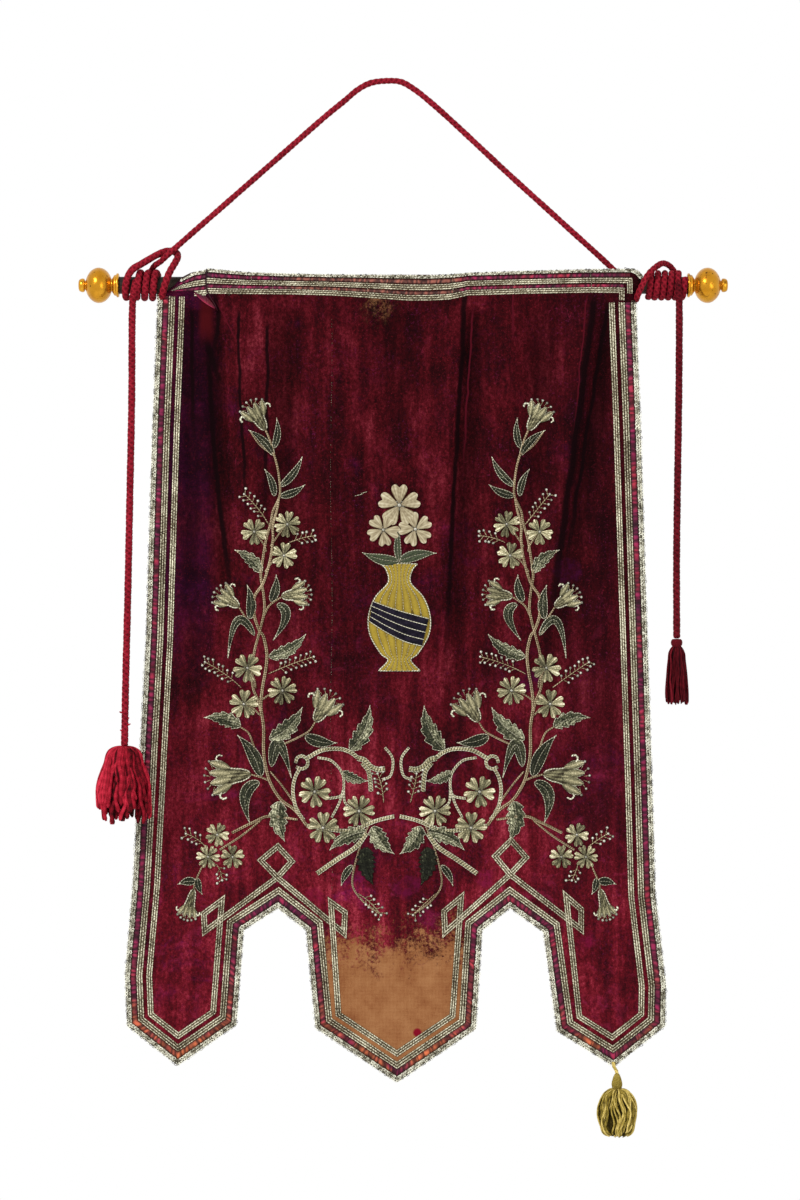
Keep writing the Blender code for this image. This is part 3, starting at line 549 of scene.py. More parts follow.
def mirrored(side, u, drop):
    """A place on the left or the right branch."""
    return np.array((MIRROR_X + side * u, drop))


def both_ends(side, row):
    """The places that a row's first four numbers give."""
    return mirrored(side, *row[:2]), mirrored(side, *row[2:4])


def curved(root, tip, bulge=None, count=30):
    """A flat line from root to tip, through a bulge where one is given."""
    share = np.linspace(0, 1, count)[:, None]
    middle = (root + tip) / 2 if bulge is None else 2 * bulge - (root + tip) / 2
    return root * (1 - share) ** 2 + 2 * middle * share * (1 - share) + tip * share**2


def leaf(piles, path, width, teeth=0, tone=0.22, base=0.0, dark=False):
    """A padded leaf: two domed halves of purl beside a midrib, inside a couched outline, with painted light
    on one half and on the tops of the domes.
    """
    share = np.linspace(0, 1, len(path))
    half = width / 2 * np.sin(math.pi * share**0.72) ** (0.65 + 0.5 * share) + 0.25
    if teeth:
        half = half * (0.70 + 0.50 * ((share * teeth) % 1))
    left, right = flanks(path, half)
    across = np.linspace(0, 1, 13)
    bow = abs(2 * across - 1)
    swell = np.sin(math.pi * np.clip(bow, 0.05, 0.96)) ** 0.6
    fade = np.clip(np.minimum(share, 1 - share) * 8, 0.25, 1)[:, None]
    along = distance_along(path)[:, None]
    side = (across - 0.5) * 2 * half[:, None]
    purl = np.sin(along * math.tau / 2.9 + side * 0.9) * np.sin(side * math.tau / 2.7 - along * 0.8)
    height = base + 0.2 + (0.4 + 1.8 * swell) * fade + 0.3 * purl * swell
    # Painted light: one half of each leaf is lighter, and each domed half is lighter along its top.
    lit = np.where(across < 0.5, 0.0, 0.20 if teeth and not dark else 0.05)
    spread(piles["leaf"], left, right, across, height, tone + lit + 0.55 * purl**3 + 0.14 * swell - 0.1)
    if dark:
        return
    tip = path[-1] + (path[-1] - path[-4]) / np.linalg.norm(path[-1] - path[-4]) * 3
    for edge in (left, right):
        couch(piles["silver"], np.vstack((edge, tip)), 0.75, 1.5, base + 0.2, 0.66)
    couch(piles["silver"], path[: int(len(path) * 0.85)], 0.6, 1.4, base + 0.9, 0.5)


def petal_grid(x, drop, radius, angle, half_angle, base, grooves):
    """One petal with two rounded lobes: places, and the tone of its radial threads, with painted shade at
    its sides and in the cleft between its lobes.
    """
    reach = np.linspace(0.10, 1, 10)[:, None]
    across = np.linspace(-1, 1, 15)
    lobes = 1 - 0.17 * np.exp(-((across / 0.22) ** 2)) - 0.30 * abs(across) ** 5
    out = radius * reach * (1 - reach**3 + reach**3 * lobes)
    turn = angle + across * half_angle * (1.0 - 0.10 * reach)
    edge = np.clip((1 - abs(across)) * 5, 0, 1)
    dome = np.sin(math.pi * np.clip(reach * 0.80 + 0.12, 0, 1)) ** 0.6
    cleft = np.exp(-((across / 0.12) ** 2)) * reach
    ridge = np.cos(across * math.pi * grooves) * 0.5 + 0.5
    height = base + 0.3 + (1.9 * edge**0.5 + 0.25 * ridge - 0.6 * cleft) * dome
    height = np.where(abs(across) > 0.99, base - 0.2, height)
    spots = on_cloth(x + out * np.cos(turn), drop + out * np.sin(turn), height)
    purl = np.sin(reach * radius * math.tau / 2.2 + across * 5)
    # Painted shade: darker in the cleft between the lobes and at the petal's sides, where it meets its
    # neighbours.
    tone = 0.24 + 0.46 * ridge * reach**0.4 - 0.38 * cleft + 0.10 * purl
    return spots, tone - 0.5 * (1 - edge) + 0.14 * (reach - 0.5)


def flower(pile, beads, x, drop, radius, turn=0.0, petals=5, base=0.3, contrast=0.20):
    """A flower of two-lobed metal-thread petals round a beaded middle, with painted sheen on the petals
    that point sideways.
    """
    rng = random.Random(int(x * 7 + drop))
    for i in range(petals):
        angle = turn + math.tau * i / petals
        spots, tone = petal_grid(x, drop, radius, angle, 0.93 * math.pi / petals, base, 5)
        # Painted sheen: petals pointing sideways are lighter; each petal's tone also shifts at random.
        painted_sheen = contrast * abs(math.cos(angle)) ** 2 + rng.uniform(-0.6, 0.6) * contrast
        pile.grid(spots, tone - 0.06 + painted_sheen)
    bead(beads, x, drop, radius * 0.12, base + 1.3)
    for i in range(petals):
        angle = turn + math.tau * (i + 0.5) / petals
        bead(beads, x + math.cos(angle) * radius * 0.19, drop + math.sin(angle) * radius * 0.19,
             radius * 0.06, base + 1.0, 0.3)


def bell(piles, base, mouth, width):
    """A bell flower: a ribbed cup, pointed petals, two curled lips, and beads beyond its mouth."""
    share = np.linspace(0, 1, 18)
    path = curved(base, mouth, count=18)
    flare = np.clip((share - 0.3) / 0.7, 0, 1)
    half = width / 2 * (0.26 * np.sqrt(np.minimum(share / 0.3, 1)) + 0.06 + 0.40 * flare**1.7)
    left, right = flanks(path, half)
    across = np.linspace(0, 1, 25)
    rib = np.cos((across - 0.5) * math.tau * 4) * 0.5 + 0.5
    dome = np.sin(math.pi * np.clip(across, 0.02, 0.98)) ** 0.5
    along = distance_along(path)[:, None]
    purl = np.sin(along * math.tau / 2.6 + across * 9)
    height = 0.5 + 2.2 * dome * (1 - 0.45 * share[:, None]) + 0.5 * rib * dome
    # Painted highlight and shade: the cup is lighter on the crests of its ribs and darker towards its
    # sides.
    spread(piles["flower"], left, right, across, height, 0.08 + 0.36 * rib * dome + 0.14 * purl)
    for edge in (left, right):
        couch(piles["silver"], edge, 1.2, 1.8, 0.4, 0.72)
    way = (mouth - base) / np.linalg.norm(mouth - base)
    aside = np.array((way[1], -way[0]))
    curl = ((0.24, 0.30), (0.36, 0.10), (0.47, 0.03), (0.55, 0.10), (0.52, 0.20))
    for hand in (1, -1):
        lip = [mouth + aside * hand * width * out - way * width * back for out, back in curl]
        couch(piles["silver"], line(lip, STITCH_STEP), 1.7 if hand > 0 else 1.4, 1.6, 0.5, 0.80)
    for i in range(4):
        place = (i - 1.5) / 1.5
        tongue = mouth + aside * place * width * 0.33
        end = tongue + way * width * (0.20 - 0.07 * abs(place)) + aside * place * width * 0.07
        start = tongue - way * width * 0.34 - aside * place * width * 0.12
        wide = width * 0.105 * np.sin(math.pi * np.linspace(0.08, 0.97, 14)) ** 0.8
        sides = flanks(curved(start, end, count=14), wide)
        across = np.linspace(0, 1, 9)
        form = np.sin(math.pi * across)
        vein = np.exp(-(((across - 0.5) / 0.12) ** 2))
        # Painted shade: each tongue is darker towards its sides than along its rounded middle.
        tones = 0.16 + 0.30 * form + 0.26 * vein * np.linspace(0.3, 1, 14)[:, None]
        spread(piles["flower"], *sides, across, 1.6 + 1.4 * form**0.6 + 0.3 * vein, tones)
        for edge in sides:
            couch(piles["silver"], edge[5:], 0.55, 1.2, 1.3, 0.6)
    for i in range(6):
        angle = (i - 2.5) / 2.5
        spot = mouth + aside * angle * width * 0.42 + way * width * (0.31 - 0.16 * angle**2)
        couch(piles["gold"], curved(mouth + (spot - mouth) * 0.55, spot, count=6), 0.55, 1.1, 0.7)
        bead(piles["bead"], *spot, 2.3, 0.5, 0.6 + 0.3 * (i % 2))


def sprig(piles, root, tip):
    """A fine stem with beads on short slanted stalks."""
    path = line(curved(root, tip, (root + tip) / 2 + (1.5, -2), 12), 1.0)
    couch(piles["gold"], path, 0.9, 1.3, 0.5)
    ways = np.gradient(path, axis=0)
    rng = random.Random(int(root[1] * 10))
    for i in range(int(len(path) * 0.24), len(path) - 2, 8):
        for hand in (1, -1):
            place = min(i + (3 if hand < 0 else 0), len(path) - 1)
            aside = np.array((ways[place][1], -ways[place][0])) * hand
            reach = rng.uniform(6.2, 8.6)
            end = path[place] + aside * reach + ways[place] * reach * rng.uniform(0.5, 0.9)
            couch(piles["gold"], curved(path[place], end, count=8), 0.65, 1.2, 0.6)
            bead(piles["bead"], *end, rng.uniform(2.1, 2.6), 0.5, rng.uniform(0.75, 1.25))
    bead(piles["bead"], *path[-1], 2.3, 0.5, 1.1)


def embroidery():
    """The mirrored branches of metal-thread flowers, bells, leaves and beads."""
    piles = {key: Pile() for key in ("gold", "silver", "leaf", "flower", "bead")}
    for side in (-1, 1):
        for half, *points in STEMS:
            path = line([mirrored(side, *p) for p in points], STITCH_STEP)
            reach = np.clip(np.linspace(0.62, 1.5, len(path)), 0, 1)
            pair = flanks(path, half * 0.50 * reach)
            for k, run in enumerate(pair):
                couch(piles["gold"], run, half * 0.52, 1.6, 0.3, 0.50 + 0.14 * k, 3.4)
        for half, *points in SCROLLS:
            path = line([mirrored(side, *p) for p in points], STITCH_STEP)
            couch(piles["flower"], path, half, 1.2, 0.2, 0.50)
            for run in flanks(path, half * 0.8):
                couch(piles["silver"], run, 0.8, 1.6, 0.5, 0.7)
        for row in BELLS:
            bell(piles, *both_ends(side, row), row[4])
        for table, bow, work in LEAF_KINDS:
            for row in table:
                leaf(piles, bowed(*both_ends(side, row), side * bow), row[4], **work)
        for row in CURVED_LEAVES:
            root, bulge, tip = (mirrored(side, *row[i : i + 2]) for i in (0, 2, 4))
            leaf(piles, curved(root, tip, bulge), row[6], tone=0.30)
        for k, (u, drop, radius) in enumerate(FLOWERS):
            middle = mirrored(side, u, drop)
            flower(piles["flower"], piles["bead"], *middle, radius, 0.3 + k * 0.4, 5 + (k % 3 == 1))
        for row in SPRIGS:
            sprig(piles, *both_ends(side, row))
    seam_stitches(piles["silver"])
    looks = {
        "gold": ("embroidery_stems", metal_thread("stem_gold", STEM_STOPS), "galloon"),
        "silver": ("embroidery_outlines", metal_thread("outline_silver", OUTLINE_STOPS), "lace"),
        "leaf": ("embroidery_leaves", metal_thread("leaf_purl", LEAF_STOPS, 0.0009), "lace"),
        "flower": ("embroidery_flowers", metal_thread("petal_gold", PETAL_STOPS), "galloon"),
        "bead": ("embroidery_beads", metal_thread("bead_metal", BEAD_STOPS, None, 0.3), "lace"),
    }
    return [piles[key].build(*look) for key, look in looks.items()]


def seam_stitches(pile):
    """Small worn stitches down the seam of the velvet, and two loose threads beside it."""
    rng = random.Random(5)
    for drop in np.arange(28, 905, 3.7):
        if rng.random() < 0.62:
            x = SEAM_X + 1.2 * math.sin(drop / 60) + rng.uniform(-0.3, 0.3)
            stitch = curved(np.array((x, drop)), np.array((x + 0.4, drop + rng.uniform(1.4, 2.4))), count=4)
            couch(pile, stitch, 0.36, 0.9, 0.5, rng.uniform(0.0, 0.5))
    for x, drop, reach in ((-49.0, 316.0, 11.0), (-40.0, 312.5, 8.0)):
        thread = curved(np.array((x, drop)), np.array((x + reach, drop - 2.5)), count=8)
        couch(pile, thread, 0.6, 1.2, 0.6, 0.7)


def bowed(root, tip, share):
    """A line from root to tip that bows to one side by a share of its length."""
    way = tip - root
    return curved(root, tip, (root + tip) / 2 + np.array((way[1], -way[0])) * share)


def band_lines(outer, inner, step):
    """Matching places along a band's two mitred edges."""
    lefts, rights = [], []
    for i in range(len(outer) - 1):
        length = np.linalg.norm(outer[i + 1] - outer[i]) + np.linalg.norm(inner[i + 1] - inner[i])
        share = np.linspace(0, 1, max(2, round(length / 2 / step)), endpoint=False)[:, None]
        lefts.append(outer[i] + (outer[i + 1] - outer[i]) * share)
        rights.append(inner[i] + (inner[i + 1] - inner[i]) * share)
    return np.vstack(lefts + [outer[-1:]]), np.vstack(rights + [inner[-1:]])


def edge_lines(band, step):
    """A band round the banner, given by its distances from the edge."""
    return band_lines(*(offset(EDGE, distance) for distance in band), step)


def heading_lines(row, step, first=0):
    """A heading row's two edges, drawn together at the left and mitred down at the right."""
    upper, lower, right, turn = row
    inner = right - (lower - upper) if turn else right
    sides = []
    for drop, end in ((upper, right), (lower, inner)):
        side = [(x, TAPER_DROP + (drop - TAPER_DROP) * share + shift) for x, share, shift in TAPER[first:]]
        side.append((end, drop))
        if turn:
            side.append((end, turn))
        sides.append(np.array(side, float))
    return band_lines(*sides, step)


def ruche(pile, left, right, seed):
    """Gathered ribbon, puffed between its two rows of stitches, with painted highlights on its gathers and
    painted shade between them.
    """
    across = np.linspace(0, 1, 7)
    along = distance_along((left + right) / 2)[:, None]
    rng = np.random.default_rng(seed)
    knots = np.linspace(0, along[-1, 0], max(4, int(along[-1, 0] / 6)))
    drift = np.interp(along, knots, rng.uniform(-3.4, 3.4, len(knots)))
    skew = np.interp(along, knots, rng.uniform(-3.4, 3.4, len(knots)))
    gain = np.interp(along, knots, rng.uniform(0.25, 1.2, len(knots)))
    gather = np.sin(along * math.tau / 9.0 + drift + skew * (across - 0.5)) * 0.5 + 0.5
    minor = np.sin(along * math.tau / 4.4 + drift * 2 + 3 * across) * 0.5 + 0.5
    puff = np.sin(math.pi * np.clip(across, 0.01, 0.99)) ** 0.7
    height = 0.25 + puff * (0.7 + 1.5 * gather * gain + 0.4 * minor)
    # Painted highlight and shade: the tone is high on the gathers' crests and low between them and at the
    # edges.
    tone = -0.12 + puff * (0.16 + 0.95 * gather**1.5 * gain + 0.30 * minor * gain)
    spread(pile, left, right, across, height, tone, back=0.05)


def braid(pile, left, right, seed, lift=0.0):
    """Woven metal braid: three bright beaded cords between two dark lines."""
    across = np.array((0.0, 0.06, 0.12, 0.20, 0.31, 0.42, 0.5, 0.58, 0.69, 0.80, 0.88, 0.94, 1.0))
    along = distance_along((left + right) / 2)[:, None]
    rng = np.random.default_rng(seed)
    cords_at = sum(np.exp(-(((across - at) / 0.105) ** 2)) for at in (0.12, 0.5, 0.88))
    knots = np.linspace(0, along[-1, 0], max(4, int(along[-1, 0] / 5)))
    jitter = np.interp(along, knots, rng.uniform(-1, 1, len(knots)))
    worn = np.interp(along, knots[::4], rng.uniform(-1, 1, len(knots[::4])))
    twist = np.sin(along * math.tau / 4.6 + jitter * 1.6 + np.round(across * 2) * 2.1)
    speck = rng.uniform(-1, 1, (len(along), len(across)))
    edge = np.clip(np.minimum(across, 1 - across) * 16, 0, 1)
    height = lift + (0.55 + 0.95 * cords_at + 0.15 * twist * cords_at) * edge + 0.05
    tone = -0.02 + (0.74 + 0.22 * twist) * cords_at + 0.16 * speck + 0.10 * worn
    spread(pile, left, right, across, height, tone, back=0.05)


def lace(pile, left, right, seed):
    """Narrow looped lace: two chained footings with two rows of fine metal loops."""
    across = np.array((0.0, 0.12, 0.30, 0.52, 0.72, 0.88, 1.0))
    along = distance_along((left + right) / 2)[:, None]
    knit = np.sin(along * math.tau / 4.4 + across * 6) * 0.5 + 0.5
    rows = np.exp(-(((across - 0.27) / 0.17) ** 2)) + np.exp(-(((across - 0.80) / 0.17) ** 2))
    inner = left + (right - left) * 0.12
    height = 0.5 + (0.7 + 0.4 * knit) * rows
    speck = np.random.default_rng(seed).uniform(-1, 1, (len(along), len(across)))
    spread(pile, inner, right, across, height, -0.02 + (0.40 + 0.45 * knit) * rows + 0.2 * speck, back=-0.4)
    rng = random.Random(seed)
    width = np.linalg.norm(right[0] - left[0])
    for share, spacing, radius, tilt in ((0.20, 4.4, 0.29, 0.5), (0.72, 4.8, 0.27, 0.9)):
        path = even(left + (right - left) * share, spacing)
        ways = np.gradient(path, axis=0)
        for spot, way in zip(path, ways):
            turn = math.atan2(way[1], way[0]) + rng.uniform(-0.9, 0.9)
            loop(pile, *(spot + (rng.uniform(-0.5, 0.5), rng.uniform(-0.5, 0.5))), turn,
                 radius * width * rng.uniform(0.75, 1.15), rng.uniform(-tilt, tilt),
                 rng.choice((0.1, 0.5, 0.85, 1.0)))


def loop(pile, x, drop, turn, radius, tilt, tone):
    """A small loop of thread that leans out of the cloth."""
    round_turn = np.linspace(0, math.tau, 8)[:, None]
    section = np.array((0.0, math.tau / 3, math.tau * 2 / 3))
    reach = radius + 0.62 * np.cos(section)
    u, v = reach * np.cos(round_turn), 0.75 * reach * np.sin(round_turn)
    cos, sin = math.cos(turn), math.sin(turn)
    height = 1.5 + v * tilt * 0.5 + 0.62 * np.sin(section)
    spots = on_cloth(x + u * cos - v * sin, drop + u * sin + v * cos, height)
    pile.grid(spots, tone, closed=True)


def trims():
    """Lace, gathered ribbon and braids round the banner and along its heading."""
    lace_pile, ribbon_pile, outer_pile, inner_pile, heading_pile = (Pile() for _ in range(5))
    lace(lace_pile, *edge_lines(LACE_BAND, LACE_STEP), 11)
    lace(lace_pile, *heading_lines(HEADING_LACE, LACE_STEP, 1), 12)
    lace(lace_pile, *band_lines(*np.array(END_LACE, float), 1.4), 22)
    ruche(ribbon_pile, *edge_lines(RIBBON_BAND, RUCHE_STEP), 13)
    for k, row in enumerate(HEADING_RIBBONS):
        ruche(ribbon_pile, *heading_lines(row, RUCHE_STEP), 14 + k)
    upper, lower = resample(line(TUCK_UPPER, 1.5), 30), resample(line(TUCK_LOWER, 1.5), 30)
    across = np.linspace(0, 1, 9)
    # Painted shade and light: the tuck is dark at its upper edge and light at its lower, rising edge.
    spread(ribbon_pile, upper, lower, across, 1.8 + 1.8 * across**2, 0.15 + 0.75 * across**3, back=0.0)
    # Painted shade: a dark strip laid along the left crease.
    couch(ribbon_pile, line(CREASE_SHADE_LINE, 1.2), 1.1, 1.2, 2.2, -0.8)
    braid(outer_pile, *edge_lines(GALLOON_BAND, BRAID_STEP), 17)
    for k, row in enumerate(HEADING_GALLOONS):
        braid(heading_pile, *heading_lines(row, BRAID_STEP, 2 * k), 18 + k)
    strap(inner_pile)
    darns(heading_pile)
    woven = metal_thread("galloon_thread", GALLOON_STOPS, 0.0011, fleck=1.3)
    lacy = metal_thread("lace_thread", LACE_STOPS, fleck=1.3)
    return [
        lace_pile.build("lace", lacy, "lace", "edging_lace", "heading_lace"),
        ribbon_pile.build("ribbon", ribbon_material(), "ribbon",
                          "ruched_ribbon", "heading_ribbon_upper", "heading_ribbon_lower"),
        outer_pile.build("braid_outer", woven, "galloon", "galloon_outer"),
        inner_pile.build("braid_strap", woven, "galloon", "galloon_inner"),
        heading_pile.build("braid_heading", woven, "galloon",
                           "heading_galloon_upper", "heading_galloon_lower"),
    ]


def darns(pile):
    """Threads darned across the heading's rows."""
    for x, start, end in DARNS:
        path = curved(np.array((x, start)), np.array((x + 1.5, end)), count=8)
        couch(pile, path, 0.55, 1.3, 1.6, 0.45)


def strap(pile):
    """The inner braid, which crosses over itself in knots above both notches."""
    centre = [tuple(p) for p in offset(EDGE, sum(STRAP_BAND) / 2)]
    path = [*centre[: LEFT_NOTCH.start], *LEFT_KNOT, *centre[LEFT_NOTCH.stop : RIGHT_NOTCH.start]]
    path += [*RIGHT_KNOT, *centre[RIGHT_NOTCH.stop :]]
    half = (STRAP_BAND[1] - STRAP_BAND[0]) / 2
    left, right = band_lines(offset(path, half), offset(path, -half), BRAID_STEP)
    braid(pile, left, right, 21, crossing_lift((left + right) / 2)[:, None])


def crossing_lift(middle):
    """Height of the strap where it passes over itself: every second crossing."""
    along = distance_along(middle)
    lift = np.zeros(len(middle))
    coarse = middle[::4]
    for i in range(len(coarse)):
        gaps = np.linalg.norm(coarse[: max(i - 9, 0)] - coarse[i], axis=1)
        if len(gaps) and gaps.min() < 2.6 and lift[i * 4] < 0.05:
            lift = np.maximum(lift, 1.5 * np.exp(-(((along - along[i * 4]) / 8.5) ** 4)))
    return lift


def inside(points, outline, margin):
    """Which flat points lie inside an outline, at least a margin from it."""
    within = np.zeros(len(points), bool)
    near = np.full(len(points), np.inf)
    for a, b in zip(outline, np.roll(outline, -1, axis=0)):
        crosses = (a[1] > points[:, 1]) != (b[1] > points[:, 1])
        with np.errstate(divide="ignore", invalid="ignore"):
            at = (b[0] - a[0]) * (points[:, 1] - a[1]) / (b[1] - a[1]) + a[0]
        within ^= crosses & (points[:, 0] < at)
        share = np.clip((points - a) @ (b - a) / ((b - a) @ (b - a)), 0, 1)[:, None]
        near = np.minimum(near, np.linalg.norm(points - a - (b - a) * share, axis=1))
    return within & (near > margin)


def velvet():
    """The velvet sheet: its front, its back and the wall round its edge; the turn over the rod is made by
    heading_turn.
    """
    corners = offset(EDGE + HEADING_EDGE, HEM_INSET, closed=True)
    rim = even(np.vstack((corners, corners[:1])), VELVET_RIM)[:-1]
    xs, drops = np.arange(-400, 420, VELVET_GRID), np.arange(-24, 1200, VELVET_GRID)
    grid = np.array([(x + (k % 2) * ROW_SHIFT, drop) for k, drop in enumerate(drops) for x in xs])
    grid = grid[inside(grid, corners, VELVET_MARGIN)]
    count = len(rim)
    flat = [Vector(p) for p in np.vstack((rim, grid))]
    points, _, faces, *_ = delaunay_2d_cdt(flat, [], [list(range(count))], 1, 1e-4)
    spots = np.array([tuple(p) for p in points])
    front = on_cloth(spots[:, 0], spots[:, 1])
    back = on_cloth(spots[:, 0], spots[:, 1], -CLOTH_THICK)
    total = len(spots)
    sides = dict.fromkeys(pair for face in faces for pair in zip(face, face[1:] + face[:1]))
    open_edges = [pair for pair in sides if pair[::-1] not in sides]
    turned_faces = [[i + total for i in reversed(face)] for face in faces]
    walls = [[b, a, a + total, b + total] for a, b in open_edges]
    mesh = bpy.data.meshes.new("velvet")
    all_faces = [list(f) for f in faces] + turned_faces + walls
    mesh.from_pydata(np.vstack((front, back)).tolist(), [], all_faces)
    mesh.materials.append(velvet_material())
    mesh.materials.append(backing_material())
    places = np.array([0] * len(faces) + [1] * len(faces) + [0] * len(walls))
    mesh.polygons.foreach_set("material_index", places)
    if mesh.polygons[0].normal.y > 0:
        mesh.flip_normals()
    # Painted shade: the tone is each place's fold depth away from the viewer, and it darkens the velvet's
    # colour in the folds' hollows.
    tone = np.concatenate([fold_depth(spots[:, 0], spots[:, 1])] * 2) / 15
    mesh.attributes.new("tone", "FLOAT", "POINT").data.foreach_set("value", tone.astype(np.float32))
    mesh.shade_smooth()
    sheet = settle(bpy.data.objects.new("velvet", mesh), "velvet", "banner_cloth")
    return sheet, flat_area(corners)


def flat_area(corners):
    """Area inside a flat outline, in square metres."""
    x, y = corners.T
    return abs(np.dot(x, np.roll(y, -1)) - np.dot(y, np.roll(x, -1))) / 2 * MM * MM


def heading_turn():
    """The part of the velvet that goes over the rod and is sewn down behind it."""
    pile = Pile()
    outer = line(FOLD_OUTER, 2.0)
    inner = line(FOLD_INNER, 2.0)
    section = np.vstack((outer, inner))
    xs = np.arange(FOLD_LEFT, FOLD_RIGHT, 8.0)[:, None]
    soft = 0.5 * np.sin(xs / 17 + 2 * np.sin(xs / 61)) * np.sin(section[:, 1] / 9)
    depth = section[:, 0] + soft * (section[:, 0] > 0)
    drop = section[:, 1] + heading_sag(xs, section[:, 1])
    rests_at = np.where(np.arange(len(section)) < len(outer), ROD_RADIUS + 3.1, ROD_RADIUS + 0.7)
    press = np.maximum(1, rests_at / np.hypot(depth, drop))
    x, depth, height = np.broadcast_arrays(xs, depth * press, AXIS_Z - drop * press)
    pile.grid(np.stack((x, depth, height), axis=-1) * MM, 0.0, closed=True)
    return pile.build("velvet_heading", backing_material(), "velvet")


def applique():
    """The padded vase of blooms at the centre, and the dark band across it."""
    vase, sash, lines, leaves, blooms, beads = (Pile() for _ in range(6))
    side = line(VASE_SIDE, 1.5)
    left = np.stack((VASE_X - side[:, 0], side[:, 1]), axis=-1)
    right = np.stack((VASE_X + side[:, 0], side[:, 1]), axis=-1)
    across = np.linspace(0, 1, 45)
    quilt = abs(np.sin(across * math.pi * 7)) ** 0.5
    round_form = np.sin(math.pi * np.clip(across, 0.01, 0.99)) ** 0.45
    height = (0.4 + 2.2 * round_form) * (0.55 + 0.45 * quilt)
    # Painted shade and light: the vase's tone is low in the quilting's hollows and high on its ridges.
    spread(vase, left, right, across, height, 0.2 + 0.7 * quilt, back=0.0)
    for k in range(1, 7):
        share = k / 7
        couch(lines, left + (right - left) * share, 0.55, 1.0, 1.3, 0.6)
    upper, lower = line(SASH_UPPER, 1.5), line(SASH_LOWER, 1.5)
    count = min(len(upper), len(lower))
    upper, lower = resample(upper, count), resample(lower, count)
    across = np.linspace(0, 1, 15)
    height = 2.9 + 1.3 * np.sin(math.pi * np.clip(across, 0.02, 0.98)) ** 0.6
    spread(sash, upper + (VASE_X, 0), lower + (VASE_X, 0), across, height, 0.5, back=2.0)
    for share in (0.0, 0.24, 0.5, 0.76, 1.0):
        run = upper + (lower - upper) * share + (VASE_X, 0)
        couch(lines, run, 0.7, 1.0, 3.4 + 0.7 * math.sin(math.pi * share), 0.75)
    for edge in (left, right, np.vstack((left[:1], right[:1])), np.vstack((left[-1:], right[-1:]))):
        couch(lines, edge, 1.1, 1.5, 0.6, 0.7)
    parts = {"leaf": leaves, "silver": lines}
    for root_x, root_d, tip_x, tip_d, width in VASE_LEAVES:
        path = bowed(np.array((root_x, root_d)), np.array((tip_x, tip_d)), 0.06)
        leaf(parts, path, width, base=0.6)
    for k, (x, drop, radius) in enumerate(BLOOMS):
        flower(blooms, beads, x, drop, radius, 0.5 * k - math.pi / 2, base=2.2, contrast=0.08)
    return [
        vase.build("vase", satin_material(), "ochre_satin", "applique_vase"),
        sash.build("sash", dark_velvet_material(), "black_velvet", "applique_sash"),
        lines.build("vase_lines", metal_thread("vase_thread", OUTLINE_STOPS), "lace"),
        leaves.build("vase_leaves", silk("leaf_silk", LEAF_SILK_STOPS), "leaf_silk", "applique_leaves"),
        blooms.build("blooms", silk("cream_silk", CREAM_STOPS), "cream_silk", "applique_blooms"),
        beads.build("bloom_beads", metal_thread("bloom_bead", BEAD_STOPS), "lace"),
    ]


def resample(points, count):
    """The same line with a given count of points."""
    share = np.linspace(0, 1, len(points))
    wanted = np.linspace(0, 1, count)
    return np.stack([np.interp(wanted, share, column) for column in points.T], axis=-1)


def route(points, step):
    """The smooth line that a cord follows, in millimetres from the rod's axis."""
    spots = [Vector(p) for p in points]
    fine = []
    for i in range(len(spots) - 1):
        start, end = spots[i], spots[i + 1]
        before, after = spots[max(i - 1, 0)], spots[min(i + 2, len(spots) - 1)]
        reach = (end - start).length / 3
        leave, arrive = (end - before).normalized() * reach, (after - start).normalized() * reach
        fine += interpolate_bezier(start, start + leave, end - arrive, end, 24)[:-1]
    return even(np.array([*fine, spots[-1]]), step)


def frames(path):
    """Two directions across a line at each of its points, without twist."""
    ways = np.gradient(path, axis=0)
    ways /= np.linalg.norm(ways, axis=1, keepdims=True) + 1e-12
    side = np.cross(ways[0], (0.31, 0.87, 0.39))
    sides = []
    for way in ways:
        side = side - way * side.dot(way)
        side = side / np.linalg.norm(side)
        sides.append(side)
    sides = np.array(sides)
    return sides, np.cross(ways, sides)


def tube(pile, path, radius, facets, tone=0.5, turn=0.0):
    """A round tube along a line, its radius and tone given over (point, facet)."""
    sides, ups = frames(path)
    angle = np.arange(facets) * math.tau / facets + turn
    ring = sides[:, None] * np.cos(angle)[:, None] + ups[:, None] * np.sin(angle)[:, None]
    radius = np.broadcast_to(radius, (len(path), facets))
    pile.grid(path[:, None] + ring * radius[..., None], tone, closed=True)


def rope(pile, path, radius, facets=16, plait=8.2):
    """A braided rope: strands that cross over and under each other, with painted light on their crests and
    painted shade in the grooves between them.
    """
    path = even(path, ROPE_STEP)
    along = distance_along(path)[:, None]
    angle = np.arange(facets) * math.tau / facets
    slow = 0.9 * np.sin(along / 37) + 0.5 * np.sin(along / 13)
    left = np.cos(3 * angle + along * math.tau / plait + slow)
    right = np.cos(3 * angle - along * math.tau / plait - slow)
    relief = np.maximum(left, right)
    ends = np.clip(np.minimum(along, along[-1] - along) / 2.5 + 0.25, 0, 1) ** 0.5
    fibre = np.sin(9 * angle + along * 2.2 + 2 * left)
    mottle = np.sin(along / 5.3 + 2 * angle) * np.sin(along / 8.1 + 1)
    lumps = 1 + 0.02 * np.sin(along / 9 + 1) + 0.015 * np.sin(along / 4)
    # Painted light and shade: lighter on the strands' crests, darker in the grooves.
    tone = 0.44 + 0.26 * relief + 0.09 * fibre + 0.07 * mottle
    tube(pile, path, radius * (0.90 + 0.10 * relief) * lumps * ends, facets, tone)


def helix(first, pitch, turns, radius):
    """The line of a cord that turns round the rod, rising to the right in front."""
    turn = np.linspace(0, turns, round(turns * 24) + 1)
    angle = turn * math.tau - math.pi / 2
    around = ROD_RADIUS + WRAP_GAP + radius
    return np.stack((first + pitch * turn, -around * np.cos(angle), around * np.sin(angle)), axis=-1)


def laid_cord(name, points, radius, node, material):
    """A rope on its route."""
    pile = Pile()
    rope(pile, points + (0, 0, AXIS_Z), radius)
    made = in_metres(pile).build(name, material, "cord", node)


